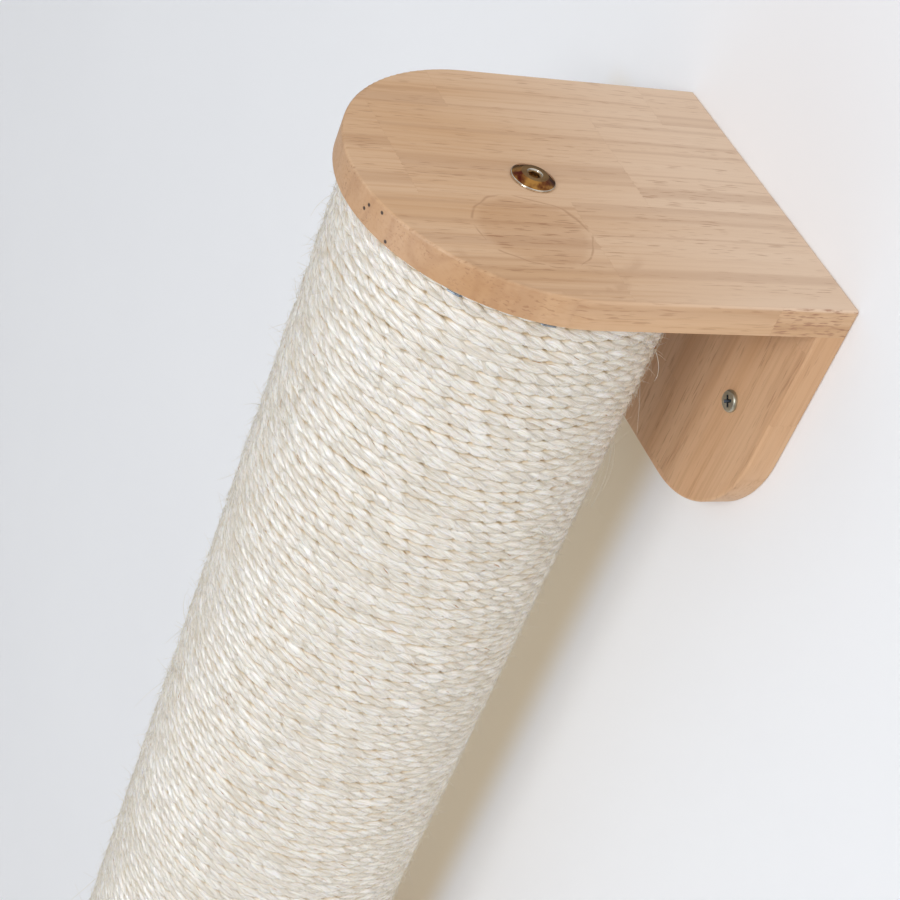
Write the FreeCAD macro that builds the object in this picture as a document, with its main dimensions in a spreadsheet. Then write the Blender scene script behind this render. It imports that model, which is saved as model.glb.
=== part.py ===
import FreeCAD, Part

import math
import os

import Sketcher

# Wall-mounted climbing post: a sisal-wound paper tube bolted upright between two rubberwood brackets.
# Millimetres. The wall is the plane y = 0, the room lies towards -Y, +Z is up, and the origin is the
# middle of the four wall screws. Every bracket piece is drawn in the bracket's own frame, whose origin
# is on the wall at the plate's outer face, and the lower bracket is the same bracket turned over.

SIZES = (
    ("post_height", 600.0, "outer face to outer face of the two plates"),
    ("board_width", 140.0, "width of the plates and of the back plates"),
    ("board_thick", 12.0, "thickness of the plates that hold the post"),
    ("axis_offset", 103.0, "wall to the axis of the post"),
    ("edge_round", 1.0, "eased outer edge of a plate"),
    ("back_thick", 12.0, "thickness of the back plates"),
    ("back_height", 105.0, "height of a back plate, from the joint with its plate"),
    ("back_corner", 44.0, "radius of a back plate's two free corners"),
    ("back_ease", 1.0, "eased front edge of a back plate"),
    ("dowel_diameter", 6.0, "joint dowels between plate and back plate"),
    ("dowel_length", 26.0, "whole dowel"),
    ("dowel_rise", 8.0, "dowel length inside the plate"),
    ("dowel_spacing", 80.0, "between the two dowels of a bracket"),
    ("dowel_bevel", 0.6, "bevel on a dowel's ends"),
    ("dowel_fit", 0.1, "radial clearance of a dowel in its holes"),
    ("dowel_room", 1.0, "glue room past each end of a dowel"),
    ("screw_spacing", 91.0, "between the two wall screws of a bracket"),
    ("screw_drop", 51.0, "joint line to the wall screws"),
    ("screw_shank", 4.5, "wall screw, outside the thread"),
    ("screw_neck", 3.4, "plain neck of a wall screw, between its head and the wall"),
    ("screw_length", 50.0, "under the head"),
    ("screw_point", 6.0, "length of the screw's point"),
    ("screw_head", 8.8, "pan head diameter"),
    ("screw_crown", 3.2, "pan head height"),
    ("screw_dome", 2.2, "rounding of the pan head"),
    ("screw_play", 0.25, "radial clearance of a screw in the back plate"),
    ("recess_span", 4.8, "cross recess, tip to tip"),
    ("recess_wing", 1.1, "cross recess, width of a wing"),
    ("recess_depth", 1.9, "depth of the cross recess"),
    ("bolt_shank", 6.0, "connector bolt, outside the thread"),
    ("bolt_length", 25.0, "under the head"),
    ("bolt_tip", 0.8, "bevel at the bolt's tip"),
    ("bolt_head", 17.0, "head diameter"),
    ("bolt_rim", 0.9, "upright rim of the head"),
    ("bolt_cone", 1.5, "height of the bevelled part of the head"),
    ("bolt_flat", 10.4, "diameter of the flat top of the head"),
    ("bolt_play", 0.5, "radial clearance of the bolt in the plate"),
    ("socket_mouth", 5.8, "countersunk mouth of the hexagon socket"),
    ("socket_flats", 4.0, "hexagon socket, across flats"),
    ("socket_sink", 0.5, "depth of the countersunk mouth"),
    ("socket_depth", 3.0, "depth of the hexagon below the mouth"),
    ("insert_outer", 10.0, "insert nut in the end disc"),
    ("insert_length", 13.0, "whole insert nut"),
    ("insert_flange", 14.0, "flange diameter of the insert nut"),
    ("flange_thick", 1.2, "flange thickness of the insert nut"),
    ("insert_fit", 0.1, "radial clearance of the insert nut in the disc"),
    ("thread_fit", 0.1, "radial clearance of the bolt in the insert nut"),
    ("tube_outer", 120.0, "paper tube, outside"),
    ("tube_wall", 6.0, "paper tube, wall"),
    ("disc_thick", 18.0, "end discs inside the tube"),
    ("disc_fit", 0.3, "radial clearance of a disc in the tube"),
    ("brad_diameter", 1.6, "brads through the tube into a disc"),
    ("brad_length", 22.0, "whole brad"),
    ("brad_fit", 0.1, "radial clearance of a brad in its hole"),
    ("rope_diameter", 4.5, "sisal rope drawn tight round the tube"),
    ("rope_pitch", 5.0, "height of one turn"),
    ("rope_turns", 24, "turns modelled one by one below the upper plate"),
    ("rope_fit", 0.25, "clearance of the rope at the tube and at the plates"),
)

QUARTER_TURNS = 4
BRADS_PER_DISC = 4
CLOSE = 1e-6

doc = FreeCAD.newDocument("climbing_post")
sheet = doc.addObject("Spreadsheet::Sheet", "sheet")
for row, (alias, size, meaning) in enumerate(SIZES, start=1):
    sheet.set(f"A{row}", meaning)
    sheet.set(f"B{row}", str(size))
    sheet.setAlias(f"B{row}", alias)
doc.recompute()


def value(alias):
    """Read one driving dimension from the sheet."""
    return float(sheet.get(alias))


# Sketching and cutting

def new_body(label):
    """Start an empty body."""
    return doc.addObject("PartDesign::Body", label)


def plane_of(body, role):
    """Find one of the body's own origin planes or axes by its role."""
    return next(item for item in body.Origin.OriginFeatures if item.Role == role)


def sketch_on(body, role, label, **shift):
    """Attach a sketch to an origin plane; shift moves it by sheet formulas along x, y or z."""
    sketch = body.newObject("Sketcher::SketchObject", label)
    sketch.AttachmentSupport = [(plane_of(body, role), "")]
    sketch.MapMode = "FlatFace"
    for axis, formula in shift.items():
        sketch.setExpression(f"AttachmentOffset.Base.{axis}", formula)
    return sketch


def hold(sketch, kind, formula, *place):
    """Add one dimension to a sketch and bind it to a sheet formula."""
    index = sketch.addConstraint(Sketcher.Constraint(kind, *place))
    sketch.setExpression(f"Constraints[{index}]", formula)


def pin_point(sketch, line, end, point, across, up):
    """Pin one end of a line; the formula "0" puts it on the sketch's own axis."""
    for kind, formula, axis, where in (("DistanceX", across, -2, point.x), ("DistanceY", up, -1, point.y)):
        if formula == "0":
            sketch.addConstraint(Sketcher.Constraint("PointOnObject", line, end, axis))
        else:
            hold(sketch, kind, formula, line, end, where)


def outline(sketch, corners):
    """Draw a closed straight-sided outline; each corner is a pair of sheet formulas."""
    count = len(corners)
    turn = 2.0 * math.pi / count
    ring = [FreeCAD.Vector(math.cos(turn * i), math.sin(turn * i), 0) for i in range(count)]
    for i in range(count):
        sketch.addGeometry(Part.LineSegment(ring[i], ring[(i + 1) % count]), False)
    for i, (across, up) in enumerate(corners):
        sketch.addConstraint(Sketcher.Constraint("Coincident", i - 1 if i else count - 1, 2, i, 1))
        pin_point(sketch, i, 1, ring[i], across, up)


def ring_outline(sketch, diameter, across="0", up="0"):
    """Draw a circle of a sheet diameter at a place given by sheet formulas."""
    circle = sketch.addGeometry(Part.Circle(FreeCAD.Vector(1, 1, 0), FreeCAD.Vector(0, 0, 1), 1), False)
    hold(sketch, "Diameter", diameter, circle, 2.0)
    for kind, formula, axis in (("DistanceX", across, -2), ("DistanceY", up, -1)):
        if formula == "0":
            sketch.addConstraint(Sketcher.Constraint("PointOnObject", circle, 3, axis))
        else:
            hold(sketch, kind, formula, circle, 3, 1.0)


def pad(body, sketch, label, length, downward=False):
    """Pad a sketch by a sheet length."""
    feature = body.newObject("PartDesign::Pad", label)
    feature.Profile = sketch
    feature.Reversed = downward
    feature.setExpression("Length", length)
    doc.recompute()
    return feature


def revolve(body, sketch, label):
    """Turn a profile once round its sketch's upright axis."""
    feature = body.newObject("PartDesign::Revolution", label)
    feature.Profile = sketch
    feature.ReferenceAxis = (sketch, ["V_Axis"])
    feature.Angle = 360.0
    doc.recompute()
    return feature


def pocket(body, sketch, label, depth=None, against=False):
    """Cut a sketch into the body, to a sheet depth or right through, and check that it cut."""
    before = body.Shape.Volume
    feature = body.newObject("PartDesign::Pocket", label)
    feature.Profile = sketch
    feature.Reversed = against
    if depth:
        feature.setExpression("Length", depth)
    else:
        feature.Type = "ThroughAll"
    doc.recompute()
    if body.Shape.Volume > before - CLOSE:
        raise RuntimeError(f"{label} cuts nothing")
    return feature


def round_edges(body, base, label, radius, wanted):
    """Round the edges of a feature that the test picks."""
    names = [f"Edge{i}" for i, edge in enumerate(base.Shape.Edges, start=1) if wanted(edge.BoundBox)]
    feature = body.newObject("PartDesign::Fillet", label)
    feature.Base = (base, names)
    feature.setExpression("Radius", radius)
    doc.recompute()
    return feature


def polar(body, feature, label, count):
    """Repeat a feature evenly round the body's Z axis."""
    pattern = body.newObject("PartDesign::PolarPattern", label)
    pattern.Originals = [feature]
    pattern.Axis = (plane_of(body, "Z_Axis"), [""])
    pattern.Angle = 360.0
    pattern.Occurrences = count
    body.Tip = pattern
    doc.recompute()
    return pattern


def seat(piece, side, on_axis=False):
    """Place a piece drawn in the bracket's frame at its end of the post."""
    if side == "lower":
        piece.Placement = FreeCAD.Placement(FreeCAD.Vector(), FreeCAD.Rotation(FreeCAD.Vector(0, 1, 0), 180))
    sign = "" if side == "upper" else "-"
    piece.setExpression("Placement.Base.z", f"{sign}sheet.post_height / 2")
    if on_axis:
        piece.setExpression("Placement.Base.y", "-sheet.axis_offset")
    return piece


def pair(side, name, body):
    """Group a piece with its mirror image across the bracket's middle."""
    twin = doc.addObject("Part::Mirroring", f"{side}_{name}_twin")
    twin.Source = body
    twin.Base = FreeCAD.Vector(0, 0, 0)
    twin.Normal = FreeCAD.Vector(1, 0, 0)
    group = doc.addObject("Part::Compound", f"{side}_{name}")
    group.Links = [body, twin]
    return seat(group, side)


# Bracket: plate, back plate and the dowels that join them

def dowel_holes(body, label, depth, upward):
    """Bore the two dowel holes of a bracket board from the joint face."""
    sketch = sketch_on(body, "XY_Plane", f"{label}_sketch", z="-sheet.board_thick")
    for half in ("-", ""):
        ring_outline(sketch, "sheet.dowel_diameter + 2 * sheet.dowel_fit",
                     f"{half}sheet.dowel_spacing / 2", "-sheet.back_thick / 2")
    pocket(body, sketch, label, depth, against=upward)


def plate(side, name):
    """Board with a half-round front, its outer edge rounded over, bolted to the end of the post."""
    label = f"{side}_{name}"
    body = new_body(label)
    sketch = sketch_on(body, "XY_Plane", f"{label}_outline")
    half, reach = value("board_width") / 2, value("axis_offset")
    corners = (
        (FreeCAD.Vector(-half, -reach, 0), "-sheet.board_width / 2", "-sheet.axis_offset"),
        (FreeCAD.Vector(-half, 0, 0), "-sheet.board_width / 2", "0"),
        (FreeCAD.Vector(half, 0, 0), "sheet.board_width / 2", "0"),
        (FreeCAD.Vector(half, -reach, 0), "sheet.board_width / 2", "-sheet.axis_offset"),
    )
    for line in range(3):
        sketch.addGeometry(Part.LineSegment(corners[line][0], corners[line + 1][0]), False)
    front = Part.Circle(FreeCAD.Vector(0, -reach, 0), FreeCAD.Vector(0, 0, 1), half)
    arc = sketch.addGeometry(Part.ArcOfCircle(front, math.pi, 2.0 * math.pi), False)
    for line in range(2):
        sketch.addConstraint(Sketcher.Constraint("Coincident", line, 2, line + 1, 1))
    for line in range(3):
        pin_point(sketch, line, 1, *corners[line])
    pin_point(sketch, 2, 2, *corners[3])
    sketch.addConstraint(Sketcher.Constraint("Coincident", arc, 1, 0, 1))
    sketch.addConstraint(Sketcher.Constraint("Tangent", 2, 2, arc, 2))
    board = pad(body, sketch, f"{label}_board", "sheet.board_thick", downward=True)
    round_edges(body, board, f"{label}_edge", "sheet.edge_round",
                lambda box: box.ZMin > -CLOSE and box.YMin < -CLOSE)
    hole = sketch_on(body, "XY_Plane", f"{label}_bolt_sketch")
    ring_outline(hole, "sheet.bolt_shank + 2 * sheet.bolt_play", up="-sheet.axis_offset")
    pocket(body, hole, f"{label}_bolt_hole")
    dowel_holes(body, f"{label}_dowel_holes", "sheet.dowel_rise + sheet.dowel_room", upward=True)
    return seat(body, side)


def back_plate(side):
    """Upright board against the wall, rounded at its two free corners, with the wall-screw holes."""
    label = f"{side}_back_plate"
    body = new_body(label)
    sketch = sketch_on(body, "XZ_Plane", f"{label}_outline")
    foot = "-sheet.board_thick - sheet.back_height"
    outline(sketch, [
        ("-sheet.board_width / 2", "-sheet.board_thick"),
        ("-sheet.board_width / 2", foot),
        ("sheet.board_width / 2", foot),
        ("sheet.board_width / 2", "-sheet.board_thick"),
    ])
    board = pad(body, sketch, f"{label}_board", "sheet.back_thick")
    low = -value("board_thick") - value("back_height")
    corners = round_edges(body, board, f"{label}_corners", "sheet.back_corner",
                          lambda box: box.ZMax < low + CLOSE and box.XLength < CLOSE)
    joint, face = -value("board_thick"), -value("back_thick")
    round_edges(body, corners, f"{label}_ease", "sheet.back_ease",
                lambda box: box.YMax < face + CLOSE and box.ZMin < joint - CLOSE)
    holes = sketch_on(body, "XZ_Plane", f"{label}_screw_sketch")
    for half in ("-", ""):
        ring_outline(holes, "sheet.screw_shank + 2 * sheet.screw_play",
                     f"{half}sheet.screw_spacing / 2", "-sheet.board_thick - sheet.screw_drop")
    pocket(body, holes, f"{label}_screw_holes", against=True)
    dowel_holes(body, f"{label}_dowel_holes",
                "sheet.dowel_length - sheet.dowel_rise + sheet.dowel_room", upward=False)
    return seat(body, side)


def dowels(side):
    """Two glued dowels standing in the back plate's end and reaching into the plate."""
    body = new_body(f"{side}_dowel")
    sketch = sketch_on(body, "XZ_Plane", f"{side}_dowel_profile",
                       x="sheet.dowel_spacing / 2", z="sheet.back_thick / 2")
    top = "-sheet.board_thick + sheet.dowel_rise"
    foot = f"{top} - sheet.dowel_length"
    outline(sketch, [
        ("0", foot),
        ("sheet.dowel_diameter / 2 - sheet.dowel_bevel", foot),
        ("sheet.dowel_diameter / 2", f"{foot} + sheet.dowel_bevel"),
        ("sheet.dowel_diameter / 2", f"{top} - sheet.dowel_bevel"),
        ("sheet.dowel_diameter / 2 - sheet.dowel_bevel", top),
        ("0", top),
    ])
    revolve(body, sketch, f"{side}_dowel_turned")
    return pair(side, "dowels", body)


# Fasteners

def wall_screws(side):
    """Two cross-recessed pan-head screws through the back plate, threaded from the wall inwards."""
    body = new_body(f"{side}_wall_screw")
    drop = "-sheet.board_thick - sheet.screw_drop"
    sketch = sketch_on(body, "XY_Plane", f"{side}_wall_screw_profile", x="sheet.screw_spacing / 2", z=drop)
    tip = "-sheet.back_thick + sheet.screw_length"
    crown = "-sheet.back_thick - sheet.screw_crown"
    outline(sketch, [
        ("0", crown),
        ("sheet.screw_head / 2", crown),
        ("sheet.screw_head / 2", "-sheet.back_thick"),
        ("sheet.screw_neck / 2", "-sheet.back_thick"),
        ("sheet.screw_neck / 2", "0"),
        ("sheet.screw_shank / 2", "0"),
        ("sheet.screw_shank / 2", f"{tip} - sheet.screw_point"),
        ("0", tip),
    ])
    turned = revolve(body, sketch, f"{side}_wall_screw_turned")
    top = -value("back_thick") - value("screw_crown")
    round_edges(body, turned, f"{side}_wall_screw_dome", "sheet.screw_dome",
                lambda box: box.YMax < top + CLOSE)
    cross = sketch_on(body, "XZ_Plane", f"{side}_wall_screw_cross", x="sheet.screw_spacing / 2", y=drop,
                      z="sheet.back_thick + sheet.screw_crown")
    wing, span = "sheet.recess_wing / 2", "sheet.recess_span / 2"
    quarter = ((span, wing), (wing, wing), (wing, span))
    outline(cross, [
        *((x, z) for x, z in quarter),
        *((f"-{x}", z) for x, z in reversed(quarter)),
        *((f"-{x}", f"-{z}") for x, z in quarter),
        *((x, f"-{z}") for x, z in reversed(quarter)),
    ])
    pocket(body, cross, f"{side}_wall_screw_recess", "sheet.recess_depth")
    return pair(side, "wall_screws", body)


def connector_bolt(side):
    """Furniture connector bolt with a wide bevelled head and a hexagon socket."""
    label = f"{side}_connector_bolt"
    body = new_body(label)
    sketch = sketch_on(body, "XZ_Plane", f"{label}_profile")
    top = "sheet.bolt_rim + sheet.bolt_cone"
    seat_of_hexagon = f"{top} - sheet.socket_sink"
    outline(sketch, [
        ("0", "-sheet.bolt_length"),
        ("sheet.bolt_shank / 2 - sheet.bolt_tip", "-sheet.bolt_length"),
        ("sheet.bolt_shank / 2", "-sheet.bolt_length + sheet.bolt_tip"),
        ("sheet.bolt_shank / 2", "0"),
        ("sheet.bolt_head / 2", "0"),
        ("sheet.bolt_head / 2", "sheet.bolt_rim"),
        ("sheet.bolt_flat / 2", top),
        ("sheet.socket_mouth / 2", top),
        ("sheet.socket_mouth / 2 - sheet.socket_sink", seat_of_hexagon),
        ("0", seat_of_hexagon),
    ])
    revolve(body, sketch, f"{label}_turned")
    hexagon = sketch_on(body, "XY_Plane", f"{label}_hexagon", z=seat_of_hexagon)
    across = "sheet.socket_flats / 2"
    corner = "sheet.socket_flats / 2 / cos(30 deg)"
    outline(hexagon, [
        (corner, "0"),
        (f"{corner} / 2", across),
        (f"-{corner} / 2", across),
        (f"-{corner}", "0"),
        (f"-{corner} / 2", f"-{across}"),
        (f"{corner} / 2", f"-{across}"),
    ])
    pocket(body, hexagon, f"{label}_socket", "sheet.socket_depth")
    return seat(body, side, on_axis=True)


def insert_nut(side):
    """Flanged insert nut let into the end disc, which the connector bolt draws up."""
    label = f"{side}_insert_nut"
    body = new_body(label)
    sketch = sketch_on(body, "XZ_Plane", f"{label}_profile")
    face = "-sheet.board_thick"
    bore = "sheet.bolt_shank / 2 + sheet.thread_fit"
    outline(sketch, [
        (bore, face),
        ("sheet.insert_flange / 2", face),
        ("sheet.insert_flange / 2", f"{face} - sheet.flange_thick"),
        ("sheet.insert_outer / 2", f"{face} - sheet.flange_thick"),
        ("sheet.insert_outer / 2", f"{face} - sheet.insert_length"),
        (bore, f"{face} - sheet.insert_length"),
    ])
    revolve(body, sketch, f"{label}_turned")
    return seat(body, side, on_axis=True)


def disc_brads(side):
    """Brads driven from outside through the tube into the end disc, flush with the tube."""
    label = f"{side}_disc_brads"
    body = new_body(label)
    body.AllowCompound = True
    sketch = sketch_on(body, "YZ_Plane", f"{label}_circle", z="sheet.tube_outer / 2 - sheet.brad_length")
    ring_outline(sketch, "sheet.brad_diameter", up="-sheet.board_thick - sheet.disc_thick / 2")
    brad = pad(body, sketch, f"{label}_brad", "sheet.brad_length")
    polar(body, brad, f"{label}_ring", BRADS_PER_DISC)
    return seat(body, side, on_axis=True)


# Post: paper tube with an end disc in each end

def brad_holes(body, label, height):
    """Bore the ring of brad holes at a height given by a sheet formula."""
    sketch = sketch_on(body, "YZ_Plane", f"{label}_sketch", z="sheet.tube_outer / 2")
    ring_outline(sketch, "sheet.brad_diameter + 2 * sheet.brad_fit", up=height)
    bored = pocket(body, sketch, f"{label}_first", "sheet.brad_length")
    return polar(body, bored, label, BRADS_PER_DISC)


def end_disc(side):
    """Plywood disc let into the tube's end, with the stepped hole of the insert nut."""
    label = f"{side}_end_disc"
    body = new_body(label)
    sketch = sketch_on(body, "XZ_Plane", f"{label}_profile")
    face = "-sheet.board_thick"
    rim = "sheet.tube_outer / 2 - sheet.tube_wall - sheet.disc_fit"
    flange = "sheet.insert_flange / 2 + sheet.insert_fit"
    bore = "sheet.insert_outer / 2 + sheet.insert_fit"
    outline(sketch, [
        (flange, face),
        (rim, face),
        (rim, f"{face} - sheet.disc_thick"),
        (bore, f"{face} - sheet.disc_thick"),
        (bore, f"{face} - sheet.flange_thick"),
        (flange, f"{face} - sheet.flange_thick"),
    ])
    revolve(body, sketch, f"{label}_turned")
    brad_holes(body, f"{label}_brad_holes", f"{face} - sheet.disc_thick / 2")
    return seat(body, side, on_axis=True)


def post_tube():
    """Spiral-wound paper tube between the two plates."""
    body = new_body("post_tube")
    reach = "sheet.post_height / 2 - sheet.board_thick"
    sketch = sketch_on(body, "XY_Plane", "post_tube_section", z=f"-({reach})")
    ring_outline(sketch, "sheet.tube_outer")
    ring_outline(sketch, "sheet.tube_outer - 2 * sheet.tube_wall")
    pad(body, sketch, "post_tube_wall", f"2 * ({reach})")
    height = f"({reach} - sheet.disc_thick / 2)"
    brad_holes(body, "post_tube_upper_holes", height)
    brad_holes(body, "post_tube_lower_holes", f"-{height}")
    body.setExpression("Placement.Base.y", "-sheet.axis_offset")
    return body


# Sisal rope: the upper turns one by one, the rest as a plain sleeve of the same thickness

def rope_line():
    """Give the radius of the rope's centre line and the height at which it starts."""
    half = value("rope_diameter") / 2
    radius = value("tube_outer") / 2 + value("rope_fit") + half
    top = value("post_height") / 2 - value("board_thick") - value("rope_fit") - half
    return radius, top


def arc_from(start, corner, end):
    """Arc between two points whose end tangents meet at the corner, equally far from both."""
    middle = (start + end) * 0.5
    lean = (end - start).getAngle(corner - start)
    return Part.Arc(start, middle + (corner - middle) * (math.tan(lean / 2) / math.tan(lean)), end).toShape()


def biarc(start, start_way, end, end_way):
    """Two arcs that join two points and keep the direction given at each."""
    chord = end - start
    ways = start_way + end_way
    spread = 2.0 * (1.0 - start_way.dot(end_way))
    along = chord.dot(ways)
    leg = (math.sqrt(along * along + spread * chord.dot(chord)) - along) / spread
    first = start + start_way * leg
    second = end - end_way * leg
    middle = (first + second) * 0.5
    return [arc_from(start, first, middle), arc_from(middle, second, end)]


def rope_path():
    """Level turns of quarter-turn biarcs, each stepping down to the next at the wall side, with straight ends."""
    radius, top = rope_line()
    quarter = 2.0 * math.pi / QUARTER_TURNS
    first = math.pi / 2 + quarter / 2
    steps = int(value("rope_turns")) * QUARTER_TURNS
    points, ways = [], []
    for step in range(steps):
        angle = first + step * quarter
        fall = step // QUARTER_TURNS * value("rope_pitch")
        points.append(FreeCAD.Vector(radius * math.cos(angle), radius * math.sin(angle), top - fall))
        ways.append(FreeCAD.Vector(-math.sin(angle), math.cos(angle), 0))
    lead = value("rope_diameter")
    edges = [Part.LineSegment(points[0] - ways[0] * lead, points[0]).toShape()]
    for step in range(steps - 1):
        edges += biarc(points[step], ways[step], points[step + 1], ways[step + 1])
    edges.append(Part.LineSegment(points[-1], points[-1] + ways[-1] * lead).toShape())
    return Part.Wire(edges), ways[0]


def least_gap(path):
    """Measure the least gap between the rope and itself on points along its centre line."""
    radius, _ = rope_line()
    per_turn = 48
    turn_length = math.hypot(2.0 * math.pi * radius, value("rope_pitch"))
    points = path.discretize(Number=int(path.Length / turn_length * per_turn))
    gap = math.inf
    for i, point in enumerate(points):
        for other in points[i + per_turn // 2:i + 2 * per_turn]:
            gap = min(gap, point.distanceToPoint(other))
    return gap - value("rope_diameter")


def rope_turns():
    """One unbroken rope wound round the tube, turn by turn, below the upper plate."""
    path, way = rope_path()
    start = path.OrderedVertexes[0].Point
    section = Part.Wire(Part.makeCircle(value("rope_diameter") / 2, start, way))
    feature = doc.addObject("Part::Feature", "sisal_rope_turns")
    feature.Shape = path.makePipeShell([section], True, False)
    feature.Placement = FreeCAD.Placement(FreeCAD.Vector(0, -value("axis_offset"), 0), FreeCAD.Rotation())
    print(f"rope: {path.Length:.0f} mm, least gap to itself {least_gap(path):.2f} mm")
    return feature


def rope_sleeve():
    """The rest of the winding as one sleeve, from the last separate turn down to the lower plate."""
    body = new_body("sisal_rope_wrap")
    sketch = sketch_on(body, "XY_Plane", "sisal_rope_wrap_section",
                       z="-sheet.post_height / 2 + sheet.board_thick")
    inner = "sheet.tube_outer + 2 * sheet.rope_fit"
    ring_outline(sketch, inner)
    ring_outline(sketch, f"{inner} + 2 * sheet.rope_diameter")
    pad(body, sketch, "sisal_rope_wrap_wall",
        "sheet.post_height - 2 * sheet.board_thick - (sheet.rope_turns - 1) * sheet.rope_pitch"
        " - sheet.rope_diameter - 2 * sheet.rope_fit")
    body.setExpression("Placement.Base.y", "-sheet.axis_offset")
    return body


pieces = []
for side, plate_name in (("upper", "top_plate"), ("lower", "base_plate")):
    pieces += [
        plate(side, plate_name),
        back_plate(side),
        dowels(side),
        wall_screws(side),
        connector_bolt(side),
        insert_nut(side),
        end_disc(side),
        disc_brads(side),
    ]
pieces += [post_tube(), rope_turns(), rope_sleeve()]
doc.recompute()

# Every object has to be sound before anything is written

failed = [item.Label for item in doc.Objects if {"Invalid", "Error"} & set(item.State)]
if failed:
    raise RuntimeError(f"failed objects: {failed}")
for piece in pieces:
    if piece.Shape.isNull() or not piece.Shape.isValid():
        raise RuntimeError(f"{piece.Label} has no valid shape")

os.makedirs("parts", exist_ok=True)
for piece in pieces:
    piece.Shape.exportStep(f"parts/{piece.Label}.step")
    print(f"{piece.Label}: {len(piece.Shape.Solids)} solids, {piece.Shape.Volume:.0f} mm3")
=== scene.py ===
"""Wall-mounted sisal climbing post between two rubberwood brackets, dressed and lit for its picture."""
import logging
import math
from dataclasses import dataclass
from enum import Enum

import bpy
import numpy as np
from mathutils import Matrix, Vector


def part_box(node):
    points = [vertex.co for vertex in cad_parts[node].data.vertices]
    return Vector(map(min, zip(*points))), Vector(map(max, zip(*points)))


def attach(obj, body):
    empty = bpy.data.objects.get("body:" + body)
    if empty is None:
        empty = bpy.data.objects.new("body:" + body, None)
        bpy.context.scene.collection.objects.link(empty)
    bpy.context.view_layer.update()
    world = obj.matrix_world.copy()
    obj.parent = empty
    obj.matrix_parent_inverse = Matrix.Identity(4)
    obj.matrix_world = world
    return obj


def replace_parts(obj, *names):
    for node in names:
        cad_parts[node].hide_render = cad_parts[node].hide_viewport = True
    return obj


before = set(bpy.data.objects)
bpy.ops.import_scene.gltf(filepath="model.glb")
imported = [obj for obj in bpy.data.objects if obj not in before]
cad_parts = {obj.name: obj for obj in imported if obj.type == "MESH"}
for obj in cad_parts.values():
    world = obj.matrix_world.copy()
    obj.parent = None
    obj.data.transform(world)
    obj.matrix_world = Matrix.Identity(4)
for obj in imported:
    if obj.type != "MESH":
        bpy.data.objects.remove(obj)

log = logging.getLogger("scene")
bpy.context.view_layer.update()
MM = 0.001
UV_STRAND = "strand"

Link = bpy.types.NodeSocket | float | tuple[float, ...]
Colour = tuple[float, float, float]
Place = tuple[float, float, float]
Tint = tuple[float, float, float, float]
Span = tuple[float, float]

# A figure at this place, in millimetres, lies off every board.
OFF_THE_BOARD = (9000.0, 9000.0)
# Least sine to divide by.
TINY = 1e-6


class End(Enum):
    """The two ends of the post, each with its own bracket."""

    UPPER = "upper"
    LOWER = "lower"


class GrainRun(Enum):
    """Axis along which the fibres of a board run."""

    TO_WALL = "Y"
    UPRIGHT = "Z"


def linear(red: int, green: int, blue: int) -> Tint:
    """Turn a colour as seen on a screen into scene-linear values.

    Args:
        red: Red of the colour, 0 to 255.
        green: Green of the colour, 0 to 255.
        blue: Blue of the colour, 0 to 255.

    Returns:
        The linear colour with full alpha.
    """
    def channel(level: int) -> float:
        """Undo the screen curve of one channel."""
        share = level / 255.0
        return share / 12.92 if share <= 0.04045 else ((share + 0.055) / 1.055) ** 2.4

    return channel(red), channel(green), channel(blue), 1.0


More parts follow.
